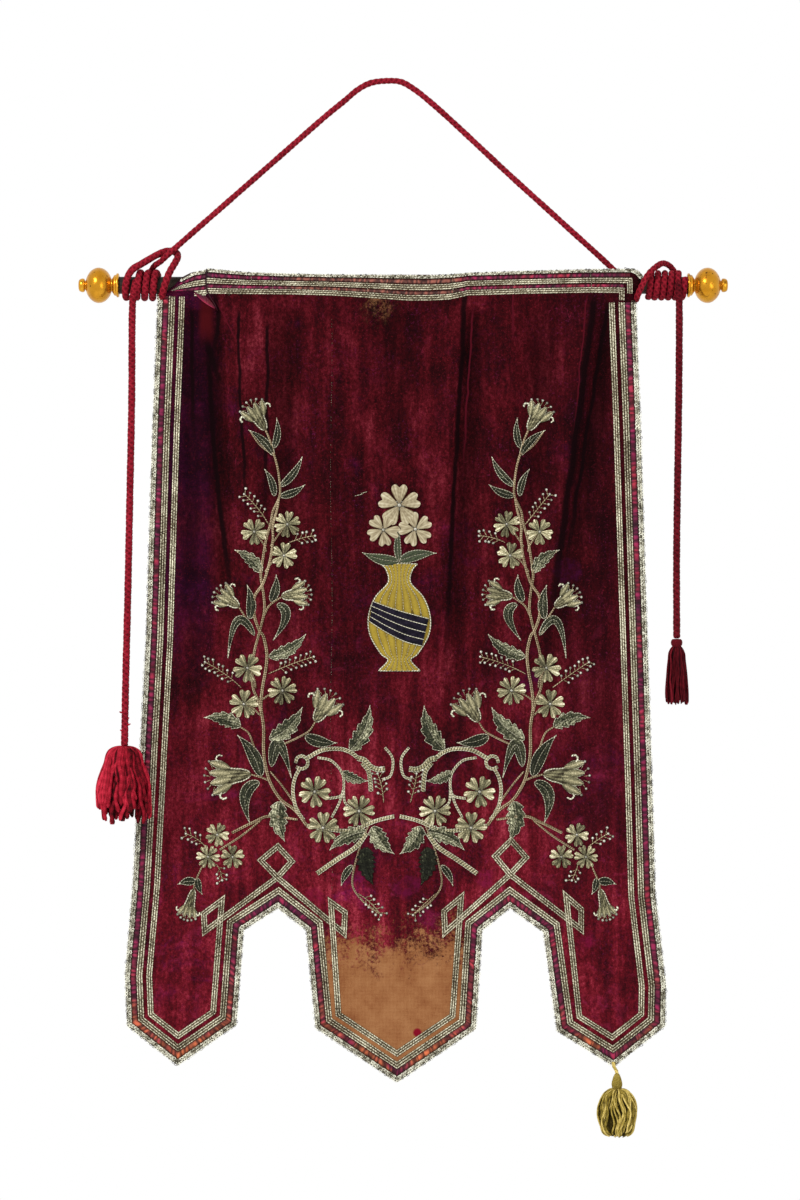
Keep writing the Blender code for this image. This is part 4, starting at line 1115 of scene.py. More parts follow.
def cords():
    """The sling, the hitch, the turns round the rod and the two hanging tails."""
    dark = rope_material("rope_dark", DARK_ROPE_STOPS)
    bright = rope_material("rope_bright", ROPE_STOPS)
    left_tassel = red_tassel_left(rope_material("yarn_bright", YARN_STOPS))
    right_tassel = red_tassel_right(rope_material("yarn_dark", DARK_ROPE_STOPS))
    laid_cord("sling", route(SLING_ROUTE, CORD_STEP), SLING_RADIUS, "sling_cord", bright)
    laid_cord("hitch", route(HITCH_ROUTE, CORD_STEP), CORD_RADIUS, "hitch_left", bright)
    laid_cord("tail_rope_left", route(TAIL_LEFT_ROUTE, TAIL_STEP), CORD_RADIUS, "tail_left",
              bright)
    laid_cord("tail_rope_right", route(TAIL_RIGHT_ROUTE, TAIL_STEP), CORD_RADIUS, "tail_right",
              dark)
    for name, (first, pitch, turns, radius) in WRAPS.items():
        laid_cord(name.replace("wrap", "turns"), helix(first, pitch, turns, radius), radius, name,
                  bright)


def yarns(pile, at, outline, count, thick, seed, depth_share=1.0, uneven=9.0, wave=1.2, locks=0):
    """Yarns that spring from a tassel's head, go over its shoulder and hang apart, in locks if given."""
    rng = random.Random(seed)
    radii, drops = np.transpose(np.array(outline, float))
    for _ in range(count):
        turn = rng.uniform(0, math.tau)
        if locks:
            turn = (rng.randrange(locks) + rng.gauss(0, 0.20)) * math.tau / locks
        share = rng.uniform(0.05, 1) ** 0.4
        longer = 1 + rng.uniform(-uneven, uneven * 0.6) / drops[-1]
        phase, swing = rng.uniform(0, math.tau), rng.uniform(-0.16, 0.16)
        reach = line(np.stack((radii * share, drops * longer), axis=-1), YARN_STEP)
        fall = reach[:, 1]
        turns = turn + swing * fall / 30 + wave / 20 * np.sin(fall / 7 + phase)
        spots = np.stack((reach[:, 0] * np.cos(turns), reach[:, 0] * np.sin(turns) * depth_share,
                          -fall), axis=-1)
        path = spots + at + (0, 0, AXIS_Z)
        twist = 0.44 + 0.09 * np.sin(np.arange(len(path)) * 1.7 + phase)[:, None]
        thin = thick * (0.8 + 0.25 * np.linspace(0, 1, len(path)))
        thin[0], thin[-1] = thick * 0.3, thick * 0.5
        # Painted light and shade: one side of each yarn is lighter, and yarns lying deeper inside the
        # tassel are darker.
        facet = 0.10 * np.sin(np.arange(6) * math.tau / 6)
        tone = twist + facet + rng.uniform(-0.28, 0.28) - 0.5 * (1 - share)
        tube(pile, path, thin[:, None] * rng.uniform(0.8, 1.15), 6, tone, phase)
    return pile


def in_metres(pile):
    """The same pile, gathered in millimetres, with its places in metres."""
    pile.spots = [spots * MM for spots in pile.spots]
    return pile


def turned(pile, at, outline, facets=40, ridges=0, depth_share=1.0, tone=0.5):
    """A form turned about a hanging axis, wound with thread when ridges is given."""
    radii, drops = np.transpose(line(outline, 0.7))
    wound = 0.35 * np.sin(drops * math.tau / 1.8) if ridges else np.zeros(len(drops))
    angle = np.arange(facets) * math.tau / facets
    radius = (radii + wound)[:, None] * (1 + 0.03 * ridges * np.sin(angle * 9))
    spots = np.stack(np.broadcast_arrays(
        radius * np.cos(angle) + at[0], radius * np.sin(angle) * depth_share + at[1],
        at[2] + AXIS_Z - drops[:, None]), axis=-1)
    pile.grid(spots, tone + wound[:, None] * 0.8, closed=True)


def red_tassel_left(material):
    """The bright mop of yarn on the left tail, with frayed ends above it."""
    pile = Pile()
    # Painted shade: a dark core inside the yarns.
    turned(pile, LEFT_TASSEL_AT, LEFT_MOP[:6], depth_share=LEFT_DEPTH_SHARE, tone=0.05)
    yarns(pile, LEFT_TASSEL_AT, LEFT_MOP, 135, 3.1, 31, LEFT_DEPTH_SHARE, uneven=28.0, wave=1.1)
    for x, drop, reach in ((-391, 637, -8), (-391, 655, 8.5), (-391, 664, -7), (-391, 646, 6.5)):
        depth = -43.5 - abs(reach) * 0.15
        fray = np.array(((x, depth, -drop), (x + reach * 0.6, depth - 1.5, -drop - 2.5),
                         (x + reach, depth - 1, -drop - 1)), float)
        path = even(fray, 1.0) + (0, 0, AXIS_Z)
        tube(pile, path, np.linspace(2.6, 0.9, len(path))[:, None], 6, 0.5)
    return in_metres(pile).build("tassel_left_yarns", material, "cord", "tassel_left")


def red_tassel_right(material):
    """The narrow dark tassel on the right tail."""
    pile = Pile()
    turned(pile, RIGHT_TASSEL_AT, RIGHT_KNOB, ridges=1)
    yarns(pile, RIGHT_TASSEL_AT, RIGHT_SKIRT, 85, 1.6, 32, uneven=6.0)
    return in_metres(pile).build("tassel_right_yarns", material, "cord", "tassel_right")


def gold_tassel():
    """The floss tassel under the right lappet: a plaited neck and a ball of looped locks."""
    pile = Pile()
    turned(pile, GOLD_TASSEL_AT, GOLD_NECK, ridges=2, tone=0.28)
    # Painted shade: a dark inner ball that shows between the locks.
    turned(pile, GOLD_TASSEL_AT, [(radius * 0.8, drop + 2) for radius, drop in GOLD_BALL], tone=0.0)
    yarns(pile, GOLD_TASSEL_AT, GOLD_BALL, 190, 1.55, 33, uneven=7.0, wave=2.2, locks=11)
    floss = rope_material("gold_floss", FLOSS_STOPS)
    ball = in_metres(pile).build("gold_tassel_floss", floss, "gold_floss", "gold_tassel")
    thread = Pile()
    path = route(GOLD_LOOP_ROUTE, 1.0) + (0, 0, AXIS_Z)
    for turn in (0.0, 2.1, 4.2):
        angle = turn + distance_along(path) * 0.45
        strand = path + np.stack((1.3 * np.cos(angle), 1.3 * np.sin(angle), 0 * angle), axis=-1)
        tube(thread, strand, 1.5, 8, 0.42 + 0.06 * turn)
    loop_piece = in_metres(thread).build("gold_tassel_thread", floss, "gold_floss", "gold_tassel_loop")
    return [ball, loop_piece]


def finials():
    """A gilt finial on each end of the rod: collar, flattened ball and button."""
    middle, half = (BALL_START + BALL_END) / 2, (BALL_END - BALL_START) / 2
    angles = np.radians(np.linspace(20, 166, 40))
    ball = np.stack((middle - half * np.cos(angles), BALL_RADIUS * np.sin(angles)), axis=-1)
    profile = np.vstack((line(COLLAR, 0.6), ball, line(BUTTON, 0.6)))
    gilt = gilt_material()
    for name, start, way in (("left", ROD_LEFT, -1), ("right", ROD_RIGHT, 1)):
        pile = Pile()
        angle = np.arange(60) * math.tau / 60
        along, radius = profile[:, :1], profile[:, 1:]
        dents = 1 + 0.004 * np.sin(angle * 3 + along / 5) * np.sin(angle * 7 + along / 3)
        spots = np.stack(np.broadcast_arrays(start + way * along, radius * dents * np.cos(angle),
                                             AXIS_Z + radius * dents * np.sin(angle)), axis=-1)
        pile.grid(spots, np.clip((radius - 10) / 16, 0, 1), closed=True)
        in_metres(pile).build(f"gilt_finial_{name}", gilt, "gilt", f"finial_{name}")


# Colours of the threads, from groove to crest
ROPE_STOPS = ((0.0, (0.022, 0.0003, 0.002)), (0.45, (0.125, 0.0030, 0.008)), (1.0, (0.34, 0.014, 0.030)))
DARK_ROPE_STOPS = ((0.0, (0.010, 0.0002, 0.001)), (0.45, (0.060, 0.0013, 0.004)),
                   (1.0, (0.18, 0.009, 0.017)))
YARN_STOPS = ((0.0, (0.012, 0.0002, 0.0005)), (0.45, (0.23, 0.0050, 0.014)), (1.0, (0.60, 0.030, 0.060)))
STEM_STOPS = ((0.0, (0.025, 0.012, 0.006)), (0.40, (0.17, 0.115, 0.060)), (1.0, (0.62, 0.52, 0.34)))
OUTLINE_STOPS = ((0.0, (0.03, 0.026, 0.016)), (0.42, (0.19, 0.175, 0.115)), (1.0, (0.80, 0.78, 0.60)))
LEAF_STOPS = ((0.0, (0.004, 0.004, 0.002)), (0.40, (0.018, 0.020, 0.010)), (0.62, (0.085, 0.085, 0.046)),
              (1.0, (0.52, 0.51, 0.34)))
PETAL_STOPS = ((0.0, (0.018, 0.013, 0.006)), (0.38, (0.125, 0.115, 0.062)), (0.68, (0.37, 0.33, 0.19)),
               (1.0, (0.95, 0.88, 0.66)))
BEAD_STOPS = ((0.0, (0.03, 0.025, 0.018)), (0.5, (0.19, 0.18, 0.14)), (1.0, (0.56, 0.55, 0.47)))
LACE_STOPS = ((0.0, (0.025, 0.020, 0.012)), (0.36, (0.20, 0.18, 0.12)), (1.0, (0.96, 0.95, 0.80)))
GALLOON_STOPS = ((0.0, (0.016, 0.008, 0.005)), (0.40, (0.125, 0.100, 0.055)), (1.0, (0.90, 0.86, 0.65)))
FLOSS_STOPS = ((0.0, (0.018, 0.012, 0.001)), (0.40, (0.27, 0.195, 0.030)), (1.0, (0.90, 0.70, 0.24)))
CREAM_STOPS = ((0.0, (0.10, 0.065, 0.03)), (0.5, (0.34, 0.29, 0.18)), (1.0, (0.60, 0.56, 0.43)))
LEAF_SILK_STOPS = ((0.0, (0.01, 0.012, 0.006)), (0.5, (0.045, 0.06, 0.025)), (1.0, (0.13, 0.15, 0.07)))


class Shader:
    """A material whose nodes are added and joined by short calls."""

    def __init__(self, name, roughness, metallic=0.0):
        self.material = bpy.data.materials.new(name)
        self.material.use_nodes = True
        self.tree = self.material.node_tree
        self.main = self.tree.nodes["Principled BSDF"]
        self.main.inputs["Roughness"].default_value = roughness
        self.main.inputs["Metallic"].default_value = metallic

    def feed(self, socket, value):
        if isinstance(value, bpy.types.NodeSocket):
            self.tree.links.new(value, socket)
        else:
            socket.default_value = value

    def coordinates(self, output="Object", scale=(1, 1, 1), turn=(0, 0, 0)):
        source = self.tree.nodes.new("ShaderNodeTexCoord").outputs[output]
        return self.mapped(source, scale, turn)

    def thread(self, scale=(1, 1, 1), turn=(0, 0, 0)):
        layer = self.tree.nodes.new("ShaderNodeUVMap")
        layer.uv_map = "thread"
        return self.mapped(layer.outputs["UV"], scale, turn)

    def mapped(self, source, scale, turn):
        mapping = self.tree.nodes.new("ShaderNodeMapping")
        self.tree.links.new(source, mapping.inputs["Vector"])
        mapping.inputs["Scale"].default_value = scale
        mapping.inputs["Rotation"].default_value = turn
        return mapping.outputs["Vector"]

    def noise(self, scale, where=None, detail=4.0, roughness=0.55, distortion=0.0):
        made = self.tree.nodes.new("ShaderNodeTexNoise")
        self.feed(made.inputs["Vector"], where or self.coordinates())
        for key, value in (("Scale", scale), ("Detail", detail), ("Roughness", roughness),
                           ("Distortion", distortion)):
            made.inputs[key].default_value = value
        return made.outputs["Fac"]

    def wave(self, scale, where, distortion=0.0):
        made = self.tree.nodes.new("ShaderNodeTexWave")
        self.feed(made.inputs["Vector"], where)
        made.inputs["Scale"].default_value = scale
        made.inputs["Distortion"].default_value = distortion
        return made.outputs["Fac"]

    def tone(self):
        made = self.tree.nodes.new("ShaderNodeAttribute")
        made.attribute_name = "tone"
        return made.outputs["Fac"]

    def math(self, operation, *values, clamp=False):
        made = self.tree.nodes.new("ShaderNodeMath")
        made.operation = operation
        made.use_clamp = clamp
        for socket, value in zip(made.inputs, values):
            self.feed(socket, value)
        return made.outputs["Value"]

    def product(self, first, *others):
        for other in others:
            first = self.math("MULTIPLY", first, other)
        return first

    def unsettled(self, *noises):
        """The tone of each place, shifted by noises of a scale, detail and amount."""
        fac = self.tone()
        for k, (scale, detail, amount) in enumerate(noises, 1):
            shift = self.math("SUBTRACT", self.noise(scale, detail=detail), 0.5)
            fac = self.math("ADD", fac, self.math("MULTIPLY", shift, amount), clamp=k == len(noises))
        return fac

    def position(self):
        """The x and the height of each place, in metres."""
        split = self.tree.nodes.new("ShaderNodeSeparateXYZ")
        self.feed(split.inputs[0], self.coordinates())
        return split.outputs["X"], split.outputs["Z"]

    def between(self, value, low, high):
        """0 below low, 1 above high, smooth between."""
        made = self.tree.nodes.new("ShaderNodeMapRange")
        made.interpolation_type = "SMOOTHSTEP"
        self.feed(made.inputs["Value"], value)
        made.inputs["From Min"].default_value = low
        made.inputs["From Max"].default_value = high
        return made.outputs["Result"]

    def ramp(self, fac, stops):
        made = self.tree.nodes.new("ShaderNodeValToRGB")
        self.feed(made.inputs["Fac"], fac)
        points = made.color_ramp.elements
        while len(points) < len(stops):
            points.new(0.5)
        for point, (position, colour) in zip(points, stops):
            point.position = position
            point.color = (*colour, 1)
        return made.outputs["Color"]

    def mix(self, fac, first, second, blend="MIX"):
        made = self.tree.nodes.new("ShaderNodeMix")
        made.data_type = "RGBA"
        made.blend_type = blend
        self.feed(made.inputs["Factor"], fac)
        for socket, value in ((made.inputs[6], first), (made.inputs[7], second)):
            self.feed(socket, (*value, 1) if isinstance(value, tuple) else value)
        return made.outputs[2]

    def bump(self, height, strength, distance):
        made = self.tree.nodes.new("ShaderNodeBump")
        made.inputs["Strength"].default_value = strength
        made.inputs["Distance"].default_value = distance
        self.feed(made.inputs["Height"], height)
        return made.outputs["Normal"]

    def finish(self, colour, normal=None, roughness=None, **values):
        self.feed(self.main.inputs["Base Color"], colour)
        if normal:
            self.feed(self.main.inputs["Normal"], normal)
        if roughness:
            self.feed(self.main.inputs["Roughness"], roughness)
        for key, value in values.items():
            self.main.inputs[key.replace("_", " ")].default_value = value
        return self.material


def metal_thread(name, stops, period=None, roughness=0.42, fleck=1.0):
    """Aged metal thread: bright crests, tarnished grooves and drifting tarnish."""
    made = Shader(name, roughness, 0.45)
    colour = made.ramp(made.unsettled((34, 3, 0.55), (620, 2, fleck)), stops)
    height = made.noise(1500, detail=2)
    if period:
        twill = made.wave(math.tau / 20 / period, made.thread(turn=(0, 0, 0.8)), 1.5)
        height = made.math("ADD", height, twill)
    shine = made.math("MULTIPLY_ADD", made.noise(90), 0.35, roughness - 0.16)
    return made.finish(colour, made.bump(height, 0.5, 0.0006), shine, Specular_IOR_Level=0.15)


def rope_material(name, stops):
    """Dyed yarn with fine fibres along it."""
    made = Shader(name, 0.85)
    fac = made.unsettled((28, 3, 0.5), (900, 3, 0.8))
    normal = made.bump(made.noise(1400, detail=2), 0.6, 0.0008)
    return made.finish(made.ramp(fac, stops), normal, Specular_IOR_Level=0.08)


def silk(name, stops):
    """Smooth silk with threads that run down it."""
    made = Shader(name, 0.5)
    colour = made.ramp(made.unsettled((120, 3, 0.4)), stops)
    satin = made.noise(700, made.coordinates(scale=(1, 1, 0.2)), 2)
    return made.finish(colour, made.bump(satin, 0.4, 0.0005), Specular_IOR_Level=0.2)


def satin_material():
    """Ochre satin, with painted shade in the hollows of its quilting and painted light on its ridges."""
    made = Shader("ochre_satin", 0.42)
    fac = made.unsettled((60, 4, 0.55), (500, 3, 0.6))
    colour = made.ramp(fac, ((0.0, (0.028, 0.015, 0.001)), (0.5, (0.145, 0.095, 0.005)),
                             (1.0, (0.29, 0.205, 0.018))))
    weave = made.wave(160, made.coordinates(scale=(1, 1, 1), turn=(0, 0.5, 0)), 2.0)
    return made.finish(colour, made.bump(weave, 0.25, 0.0004), Specular_IOR_Level=0.2)


def dark_velvet_material():
    made = Shader("dark_velvet", 0.9)
    colour = made.ramp(made.noise(150, detail=5), ((0.3, (0.003, 0.0028, 0.005)),
                                                   (0.7, (0.014, 0.011, 0.020))))
    return made.finish(colour, made.bump(made.noise(1200), 0.5, 0.0008), Specular_IOR_Level=0.05)


def ribbon_material():
    """Silk ribbon, magenta to purple, faded to orange at the lappets' ends, with painted shade and
    highlights from the tone of its gathers.
    """
    made = Shader("gathered_silk", 0.5)
    x, height = made.position()
    patch = made.noise(16, detail=4, distortion=0.6)
    dyed = made.ramp(patch, ((0.25, (0.060, 0.003, 0.030)), (0.5, (0.14, 0.008, 0.036)),
                             (0.62, (0.20, 0.014, 0.026)), (0.75, (0.080, 0.004, 0.065))))
    low = made.between(height, -1.28, -1.47)
    wear = made.math("MULTIPLY", low, made.between(made.noise(21, detail=4), 0.40, 0.56))
    faded = made.mix(wear, dyed, (0.30, 0.075, 0.03))
    bleached = made.product(made.between(x, -0.175, -0.135), made.between(x, 0.114, 0.100),
                            made.between(height, -0.345, -0.335), 0.85)
    faded = made.mix(bleached, faded, (0.155, 0.058, 0.038))
    # Painted shade and highlight: the tone darkens the ribbon in its gathers' hollows and lightens it on
    # their crests.
    fac = made.math("ADD", made.tone(), made.math("MULTIPLY_ADD", made.noise(500), 0.5, -0.25),
                    clamp=True)
    shade = made.ramp(fac, ((0.0, (0.12, 0.09, 0.11)), (0.45, (0.80, 0.80, 0.80)), (1.0, (1.9, 1.8, 1.7))))
    colour = made.mix(1.0, faded, shade, "MULTIPLY")
    weave = made.wave(200, made.thread(), 1.0)
    return made.finish(colour, made.bump(weave, 0.25, 0.0004), Specular_IOR_Level=0.15)


def gilt_material():
    """Worn gilding with dark speckles and rubbed brown bole."""
    made = Shader("worn_gilt", 0.32, 0.85)
    wear = made.between(made.noise(75, detail=6, roughness=0.7), 0.56, 0.70)
    gold = made.ramp(made.noise(30, detail=3), ((0.3, (0.46, 0.19, 0.008)), (0.7, (0.68, 0.34, 0.030))))
    colour = made.mix(wear, gold, (0.16, 0.055, 0.006))
    speck = made.between(made.noise(240, detail=3), 0.63, 0.70)
    colour = made.mix(speck, colour, (0.045, 0.016, 0.003))
    rough = made.math("MULTIPLY_ADD", wear, 0.35, 0.24)
    normal = made.bump(made.noise(160, detail=5), 0.22, 0.0015)
    return made.finish(colour, normal, rough, Specular_IOR_Level=0.2)


def wood_material():
    made = Shader("dark_wood", 0.5)
    grain = made.noise(60, made.coordinates(scale=(0.12, 1, 1)), 6, 0.6, 0.4)
    colour = made.ramp(grain, ((0.3, (0.006, 0.004, 0.003)), (0.7, (0.035, 0.020, 0.012))))
    return made.finish(colour, made.bump(grain, 0.3, 0.001), Specular_IOR_Level=0.15)


def floor_material():
    made = Shader("pale_floor", 0.9)
    tone = made.noise(2.5, detail=3)
    return made.finish(made.ramp(tone, ((0.3, (0.80, 0.80, 0.79)), (0.7, (0.84, 0.84, 0.83)))))


def backing_material():
    """The plain woven back of the velvet."""
    made = Shader("velvet_back", 0.85)
    patch = made.noise(9, detail=5)
    colour = made.ramp(patch, ((0.3, (0.060, 0.006, 0.010)), (0.7, (0.12, 0.020, 0.026))))
    across = made.wave(240, made.coordinates(), 0.6)
    down = made.wave(240, made.coordinates(turn=(0, math.pi / 2, 0)), 0.6)
    return made.finish(colour, made.bump(made.math("ADD", across, down), 0.35, 0.0006),
                       Specular_IOR_Level=0.08)


def stain_mask(made, where, x, drop, radius, ragged=0.35):
    """How much of a round stain shows: 1 in its middle, 0 outside it."""
    away = made.tree.nodes.new("ShaderNodeVectorMath")
    away.operation = "DISTANCE"
    made.feed(away.inputs[0], where)
    away.inputs[1].default_value = (x * MM, 0, (AXIS_Z - drop) * MM)
    rough = made.math("MULTIPLY_ADD", made.noise(60, detail=4), radius * MM * ragged * 2,
                      -radius * MM * ragged)
    return made.between(made.math("ADD", away.outputs["Value"], rough), radius * MM,
                        radius * MM * 0.55)


VELVET_STOPS = ((0.12, (0.0050, 0.0005, 0.0010)), (0.36, (0.017, 0.0009, 0.0019)),
                (0.54, (0.036, 0.0014, 0.0030)), (0.72, (0.070, 0.0040, 0.0080)),
                (1.0, (0.17, 0.020, 0.030)))

# Painted colours: the painted shade in a pleat's hollow, the painted highlight on its lit crest, and the
# painted light on the lit flap at the left
SHADE, GLOW, LIT_FLAP = (0.0035, 0.0005, 0.0010), (0.060, 0.003, 0.008), (0.046, 0.0022, 0.0035)

# Painted shade and highlights along the pleats, in metres: x at the heading, slope, bend, half width, drops
# of start and end, colour
PLEATS = (
    (-0.273, 0.0, 0.0, 0.013, 0.034, 0.098, LIT_FLAP),
    (-0.271, 0.0, 0.17, 0.0056, 0.12, 0.60, SHADE),
    (-0.2665, 0.452, -4.46, 0.0052, 0.024, 0.112, SHADE),
    (-0.3026, 0.344, 0.0, 0.0065, 0.096, 0.175, SHADE),
    (-0.293, 0.0, 0.02, 0.0040, 0.05, 0.26, SHADE),
    (-0.272, 0.55, 0.0, 0.0015, 0.04, 0.105, GLOW),
    (-0.180, -0.01, 0.0, 0.0040, 0.07, 0.40, SHADE),
    (0.116, -0.055, 0.0, 0.0056, 0.014, 0.62, SHADE),
    (0.129, -0.060, 0.0, 0.0020, 0.05, 0.30, GLOW),
    (0.186, 0.0, 0.0, 0.0018, 0.012, 0.09, GLOW),
    (0.312, -0.135, 0.0, 0.0080, 0.03, 0.62, SHADE),
    (0.334, -0.16, 0.0, 0.0045, 0.04, 0.50, SHADE),
    (0.300, -0.10, 0.0, 0.0014, 0.03, 0.24, GLOW),
    (-0.226, 0.035, 0.0, 0.0035, 0.05, 0.42, SHADE),
)

# Stains in the velvet: x, drop, radius, colour
STAINS = (
    (-109.0, 915.0, 17.0, (0.15, 0.005, 0.026)),
    (146.0, 892.0, 16.0, (0.13, 0.005, 0.028)),
    (298.0, 982.0, 15.0, (0.13, 0.004, 0.026)),
    (30.0, 903.0, 22.0, (0.080, 0.003, 0.022)),
    (60.0, 950.0, 18.0, (0.12, 0.006, 0.034)),
    (214.0, 595.0, 22.0, (0.052, 0.002, 0.024)),
    (270.0, 430.0, 24.0, (0.042, 0.002, 0.022)),
)
RED_SPOT = (44.0, 1121.0, 8.0, (0.16, 0.003, 0.012))


def crushed_velvet(made):
    """The crimson pile, crushed in broad patches, streaks and flecks."""
    broad = made.noise(8, detail=4, roughness=0.6, distortion=0.4)
    streak = made.noise(30, made.coordinates(scale=(2.0, 1, 0.22)), 5, 0.65)
    fleck = made.noise(190, made.coordinates(scale=(1.2, 1, 0.9)), 6, 0.85)
    fac = made.math("MULTIPLY_ADD", broad, 1.1, made.math("MULTIPLY_ADD", streak, 0.95, -1.775))
    fac = made.math("ADD", made.math("MULTIPLY_ADD", fleck, 1.5, 0.5), fac, clamp=True)
    return made.ramp(fac, VELVET_STOPS)


def bruised_and_shaded(made, base, x, drop, bloom):
    """Purple bruises, most of them at the upper left, with painted shade that darkens the upper left and
    the right side.
    """
    left = made.product(made.between(x, -0.250, -0.280), made.between(drop, 0.62, 0.44))
    tint = made.between(made.noise(17, detail=6, roughness=0.7, distortion=0.6), 0.42, 0.58)
    base = made.mix(made.product(left, tint, bloom), base, (0.040, 0.0014, 0.020), "ADD")
    # Painted shade: the upper left is darkened towards deep purple.
    base = made.mix(made.product(left, 0.5), base, (0.012, 0.0008, 0.009))
    bruise = made.between(made.noise(7, detail=7, roughness=0.7, distortion=0.9), 0.55, 0.70)
    base = made.mix(made.product(bruise, bloom, 0.7), base, (0.030, 0.001, 0.022), "ADD")
    # Painted shade down the right side.
    side = made.product(made.between(x, 0.18, 0.33), made.between(drop, 1.0, 0.72))
    return made.mix(made.product(side, 0.42), base, (0.008, 0.0006, 0.0016))


def rubbed(made, base, drop, bloom):
    """Velvet paler towards the hem, with pink patches, bright crumbs and chafed streaks."""
    low = made.between(drop, 0.40, 0.96)
    lift = made.ramp(low, ((0.0, (1.0, 1.0, 1.0)), (1.0, (2.2, 2.4, 2.4))))
    base = made.mix(1.0, base, lift, "MULTIPLY")
    pinks = made.between(made.noise(19, detail=8, roughness=0.75, distortion=1.2), 0.52, 0.66)
    pinks = made.product(pinks, bloom, made.math("MULTIPLY_ADD", low, 0.65, 0.10))
    base = made.mix(pinks, base, (0.19, 0.012, 0.042))
    crumb = made.between(made.noise(330, detail=5, roughness=0.75), 0.56, 0.68)
    violet = made.between(made.noise(13, detail=5, roughness=0.7), 0.44, 0.60)
    crumbs = made.mix(violet, (0.17, 0.009, 0.016), (0.12, 0.009, 0.060))
    base = made.mix(made.product(crumb, 0.50), base, crumbs)
    chafe = made.between(made.noise(60, made.coordinates(scale=(1, 1, 0.45)), 9, 0.9), 0.56, 0.66)
    return made.mix(made.product(chafe, 0.45), base, (0.16, 0.010, 0.030))


def velvet_material():
    """Old crimson velvet: crushed, bruised, rubbed, stained and worn to tan, with painted shade in its
    folds and pleats and painted highlights on a few pleats.
    """
    made = Shader("crimson_velvet", 0.9)
    x, height = made.position()
    drop = made.math("MULTIPLY_ADD", height, -1.0, AXIS_Z * MM)
    speckle = made.between(made.noise(90, detail=7, roughness=0.85), 0.44, 0.62)
    bloom = made.math("MULTIPLY_ADD", speckle, 0.8, 0.2)
    base = bruised_and_shaded(made, crushed_velvet(made), x, drop, bloom)
    base = rubbed(made, base, drop, bloom)
    flat = made.coordinates(scale=(1, 0, 1))
    for *place, stain in STAINS:
        base = made.mix(made.product(stain_mask(made, flat, *place, 0.8), bloom, 0.9), base, stain)
    base = made.mix(worn_patches(made, x, height), base, tan_colour(made))
    *place, red = RED_SPOT
    base = made.mix(stain_mask(made, flat, *place, 0.15), base, red)
    # Painted shade: the tone, the folds' depth, darkens the velvet in their hollows.
    shade = made.ramp(made.tone(), ((0.0, (1.0, 1.0, 1.0)), (0.35, (0.55, 0.52, 0.52)),
                                    (1.0, (0.16, 0.14, 0.18))))
    colour = made.mix(1.0, base, shade, "MULTIPLY")
    # Painted shade in the pleats' hollows, painted highlights on their crests and painted light on the
    # flap.
    for *pleat, tone in PLEATS:
        colour = made.mix(painted_pleat_mask(made, x, drop, *pleat), colour, tone)
    pile_height = made.math("ADD", made.noise(70, detail=6, roughness=0.7), made.noise(700, detail=3))
    return made.finish(colour, made.bump(pile_height, 0.5, 0.0012), Specular_IOR_Level=0.04)


def painted_pleat_mask(made, x, drop, top_x, slope, bend, half_width, start, end):
    """Where a pleat's painted shade or highlight lies: a line that runs down from top_x, in metres."""
    curve = made.math("MULTIPLY_ADD", made.math("MULTIPLY_ADD", drop, bend, slope), drop, top_x)
    wobble = made.math("MULTIPLY_ADD", made.noise(22, detail=3), 0.010, -0.005)
    away = made.math("ABSOLUTE", made.math("SUBTRACT", made.math("ADD", x, wobble), curve))
    line_mask = made.between(away, half_width, half_width * 0.3)
    within = made.math("MULTIPLY", made.between(drop, end, end * 0.6),
                       made.between(drop, start - 0.02, start))
    return made.math("MULTIPLY", line_mask, made.math("MULTIPLY", within, 0.92))


def tan_colour(made):
    """Worn ground cloth: tan, with a faint weave and darker cross lines."""
    weave = made.math("ADD", made.wave(150, made.coordinates(), 3.0),
                      made.wave(150, made.coordinates(turn=(0, math.pi / 2, 0)), 3.0))
    ground = made.math("MULTIPLY", made.noise(24, detail=8, roughness=0.7), 0.9)
    fac = made.math("MULTIPLY_ADD", weave, 0.16, ground)
    return made.ramp(fac, ((0.32, (0.11, 0.026, 0.010)), (0.52, (0.205, 0.078, 0.028)),
                           (0.80, (0.29, 0.135, 0.056))))


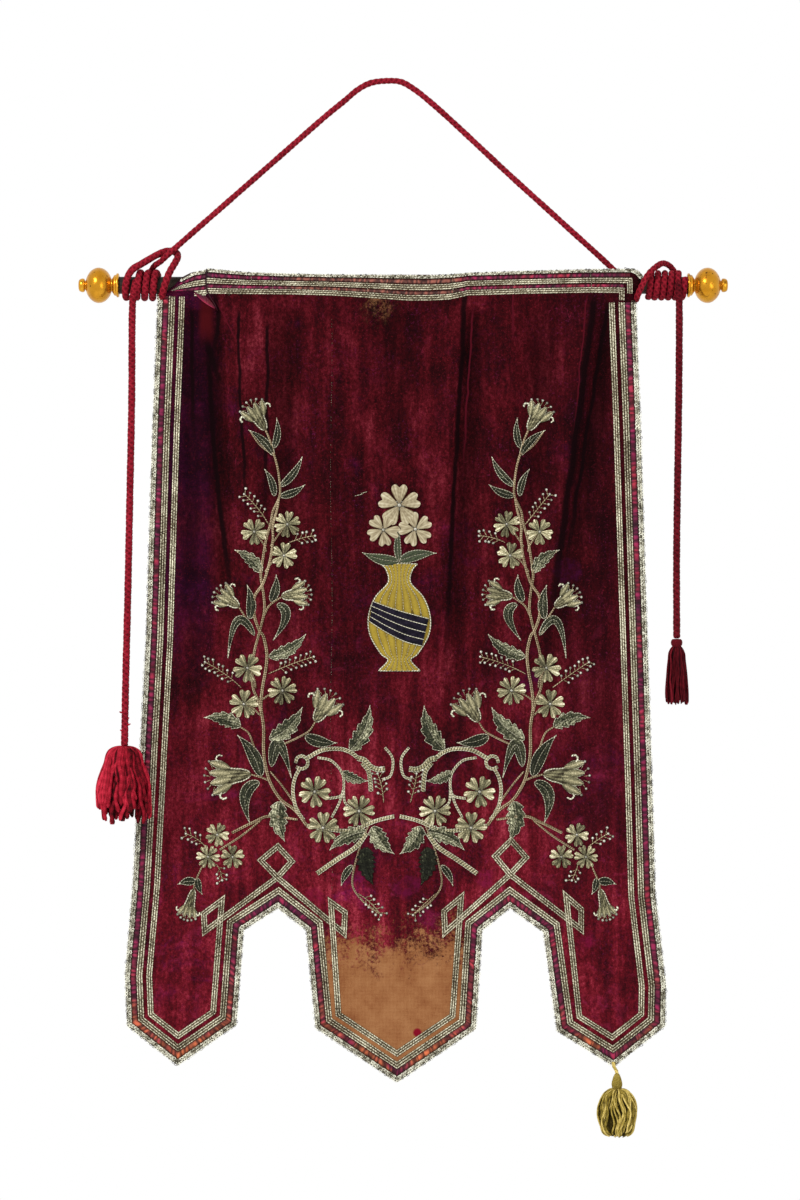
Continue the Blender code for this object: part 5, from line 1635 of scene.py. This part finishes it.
def worn_patches(made, x, height):
    """Where the pile has gone: most of the middle lappet, and a little under the heading."""
    ragged = made.math("MULTIPLY_ADD", made.noise(26, detail=7, roughness=0.7), 0.20, -0.10)
    fine = made.math("MULTIPLY_ADD", made.noise(210, detail=6, roughness=0.8), 0.22, -0.11)
    level = made.math("ADD", made.math("ADD", height, ragged), fine)
    lappet = made.between(level, -1.265, -1.320)
    side = made.between(made.math("ABSOLUTE", made.math("SUBTRACT", x, 0.013)), 0.118, 0.100)
    lappet = made.math("MULTIPLY", lappet, side)
    rag = made.math("MULTIPLY_ADD", made.noise(90, detail=6, roughness=0.8), 0.08, -0.04)
    away = made.math("ABSOLUTE", made.math("SUBTRACT", x, -0.014))
    near = made.between(made.math("ADD", away, rag), 0.030, 0.008)
    top = made.between(made.math("ADD", height, rag), -0.365, -0.335)
    bare = made.between(made.noise(110, detail=8, roughness=0.85), 0.46, 0.60)
    heading = made.product(near, top, made.product(bare, 0.5))
    return made.math("MAXIMUM", lappet, heading)


def camera():
    data = bpy.data.cameras.new("camera")
    data.sensor_fit = "VERTICAL"
    data.sensor_height = SENSOR
    data.lens = SENSOR * -CAMERA_AT[1] / VIEW_HEIGHT
    made = bpy.data.objects.new("camera", data)
    made.location = CAMERA_AT
    made.rotation_euler = (math.pi / 2, 0, 0)
    bpy.context.scene.collection.objects.link(made)
    bpy.context.scene.camera = made


def lights():
    world = bpy.data.worlds.new("studio")
    world.use_nodes = True
    world.node_tree.nodes["Background"].inputs["Color"].default_value = (1, 1, 1, 1)
    world.node_tree.nodes["Background"].inputs["Strength"].default_value = SKY
    bpy.context.scene.world = world
    for name, at, side, power in LAMPS:
        data = bpy.data.lights.new(name, "AREA")
        data.shape = "DISK"
        data.size = side
        data.energy = power
        made = bpy.data.objects.new(name, data)
        made.location = at
        made.rotation_euler = (Vector(LAMP_TARGET) - Vector(at)).to_track_quat("-Z", "Y").to_euler()
        bpy.context.scene.collection.objects.link(made)


def floor():
    half = FLOOR_SIDE / 2
    mesh = bpy.data.meshes.new("floor")
    corners = [(x, y, FLOOR_Z) for x, y in ((-half, -half), (half, -half), (half, half), (-half, half))]
    mesh.from_pydata(corners, [], [(0, 1, 2, 3)])
    mesh.materials.append(floor_material())
    made = bpy.data.objects.new("floor", mesh)
    bpy.context.scene.collection.objects.link(made)


def paint_solid(node, material):
    node.data.materials.clear()
    node.data.materials.append(material)


def main():
    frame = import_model()
    camera()
    cords()
    sheet, area = velvet()
    turn = heading_turn()
    on_sheet = [turn, *trims(), *embroidery(), *applique(), *gold_tassel()]
    finials()
    paint_solid(frame["nodes"]["rod"], wood_material())
    floor()
    lights()
    bpy.context.scene.view_settings.view_transform = "Standard"


main()
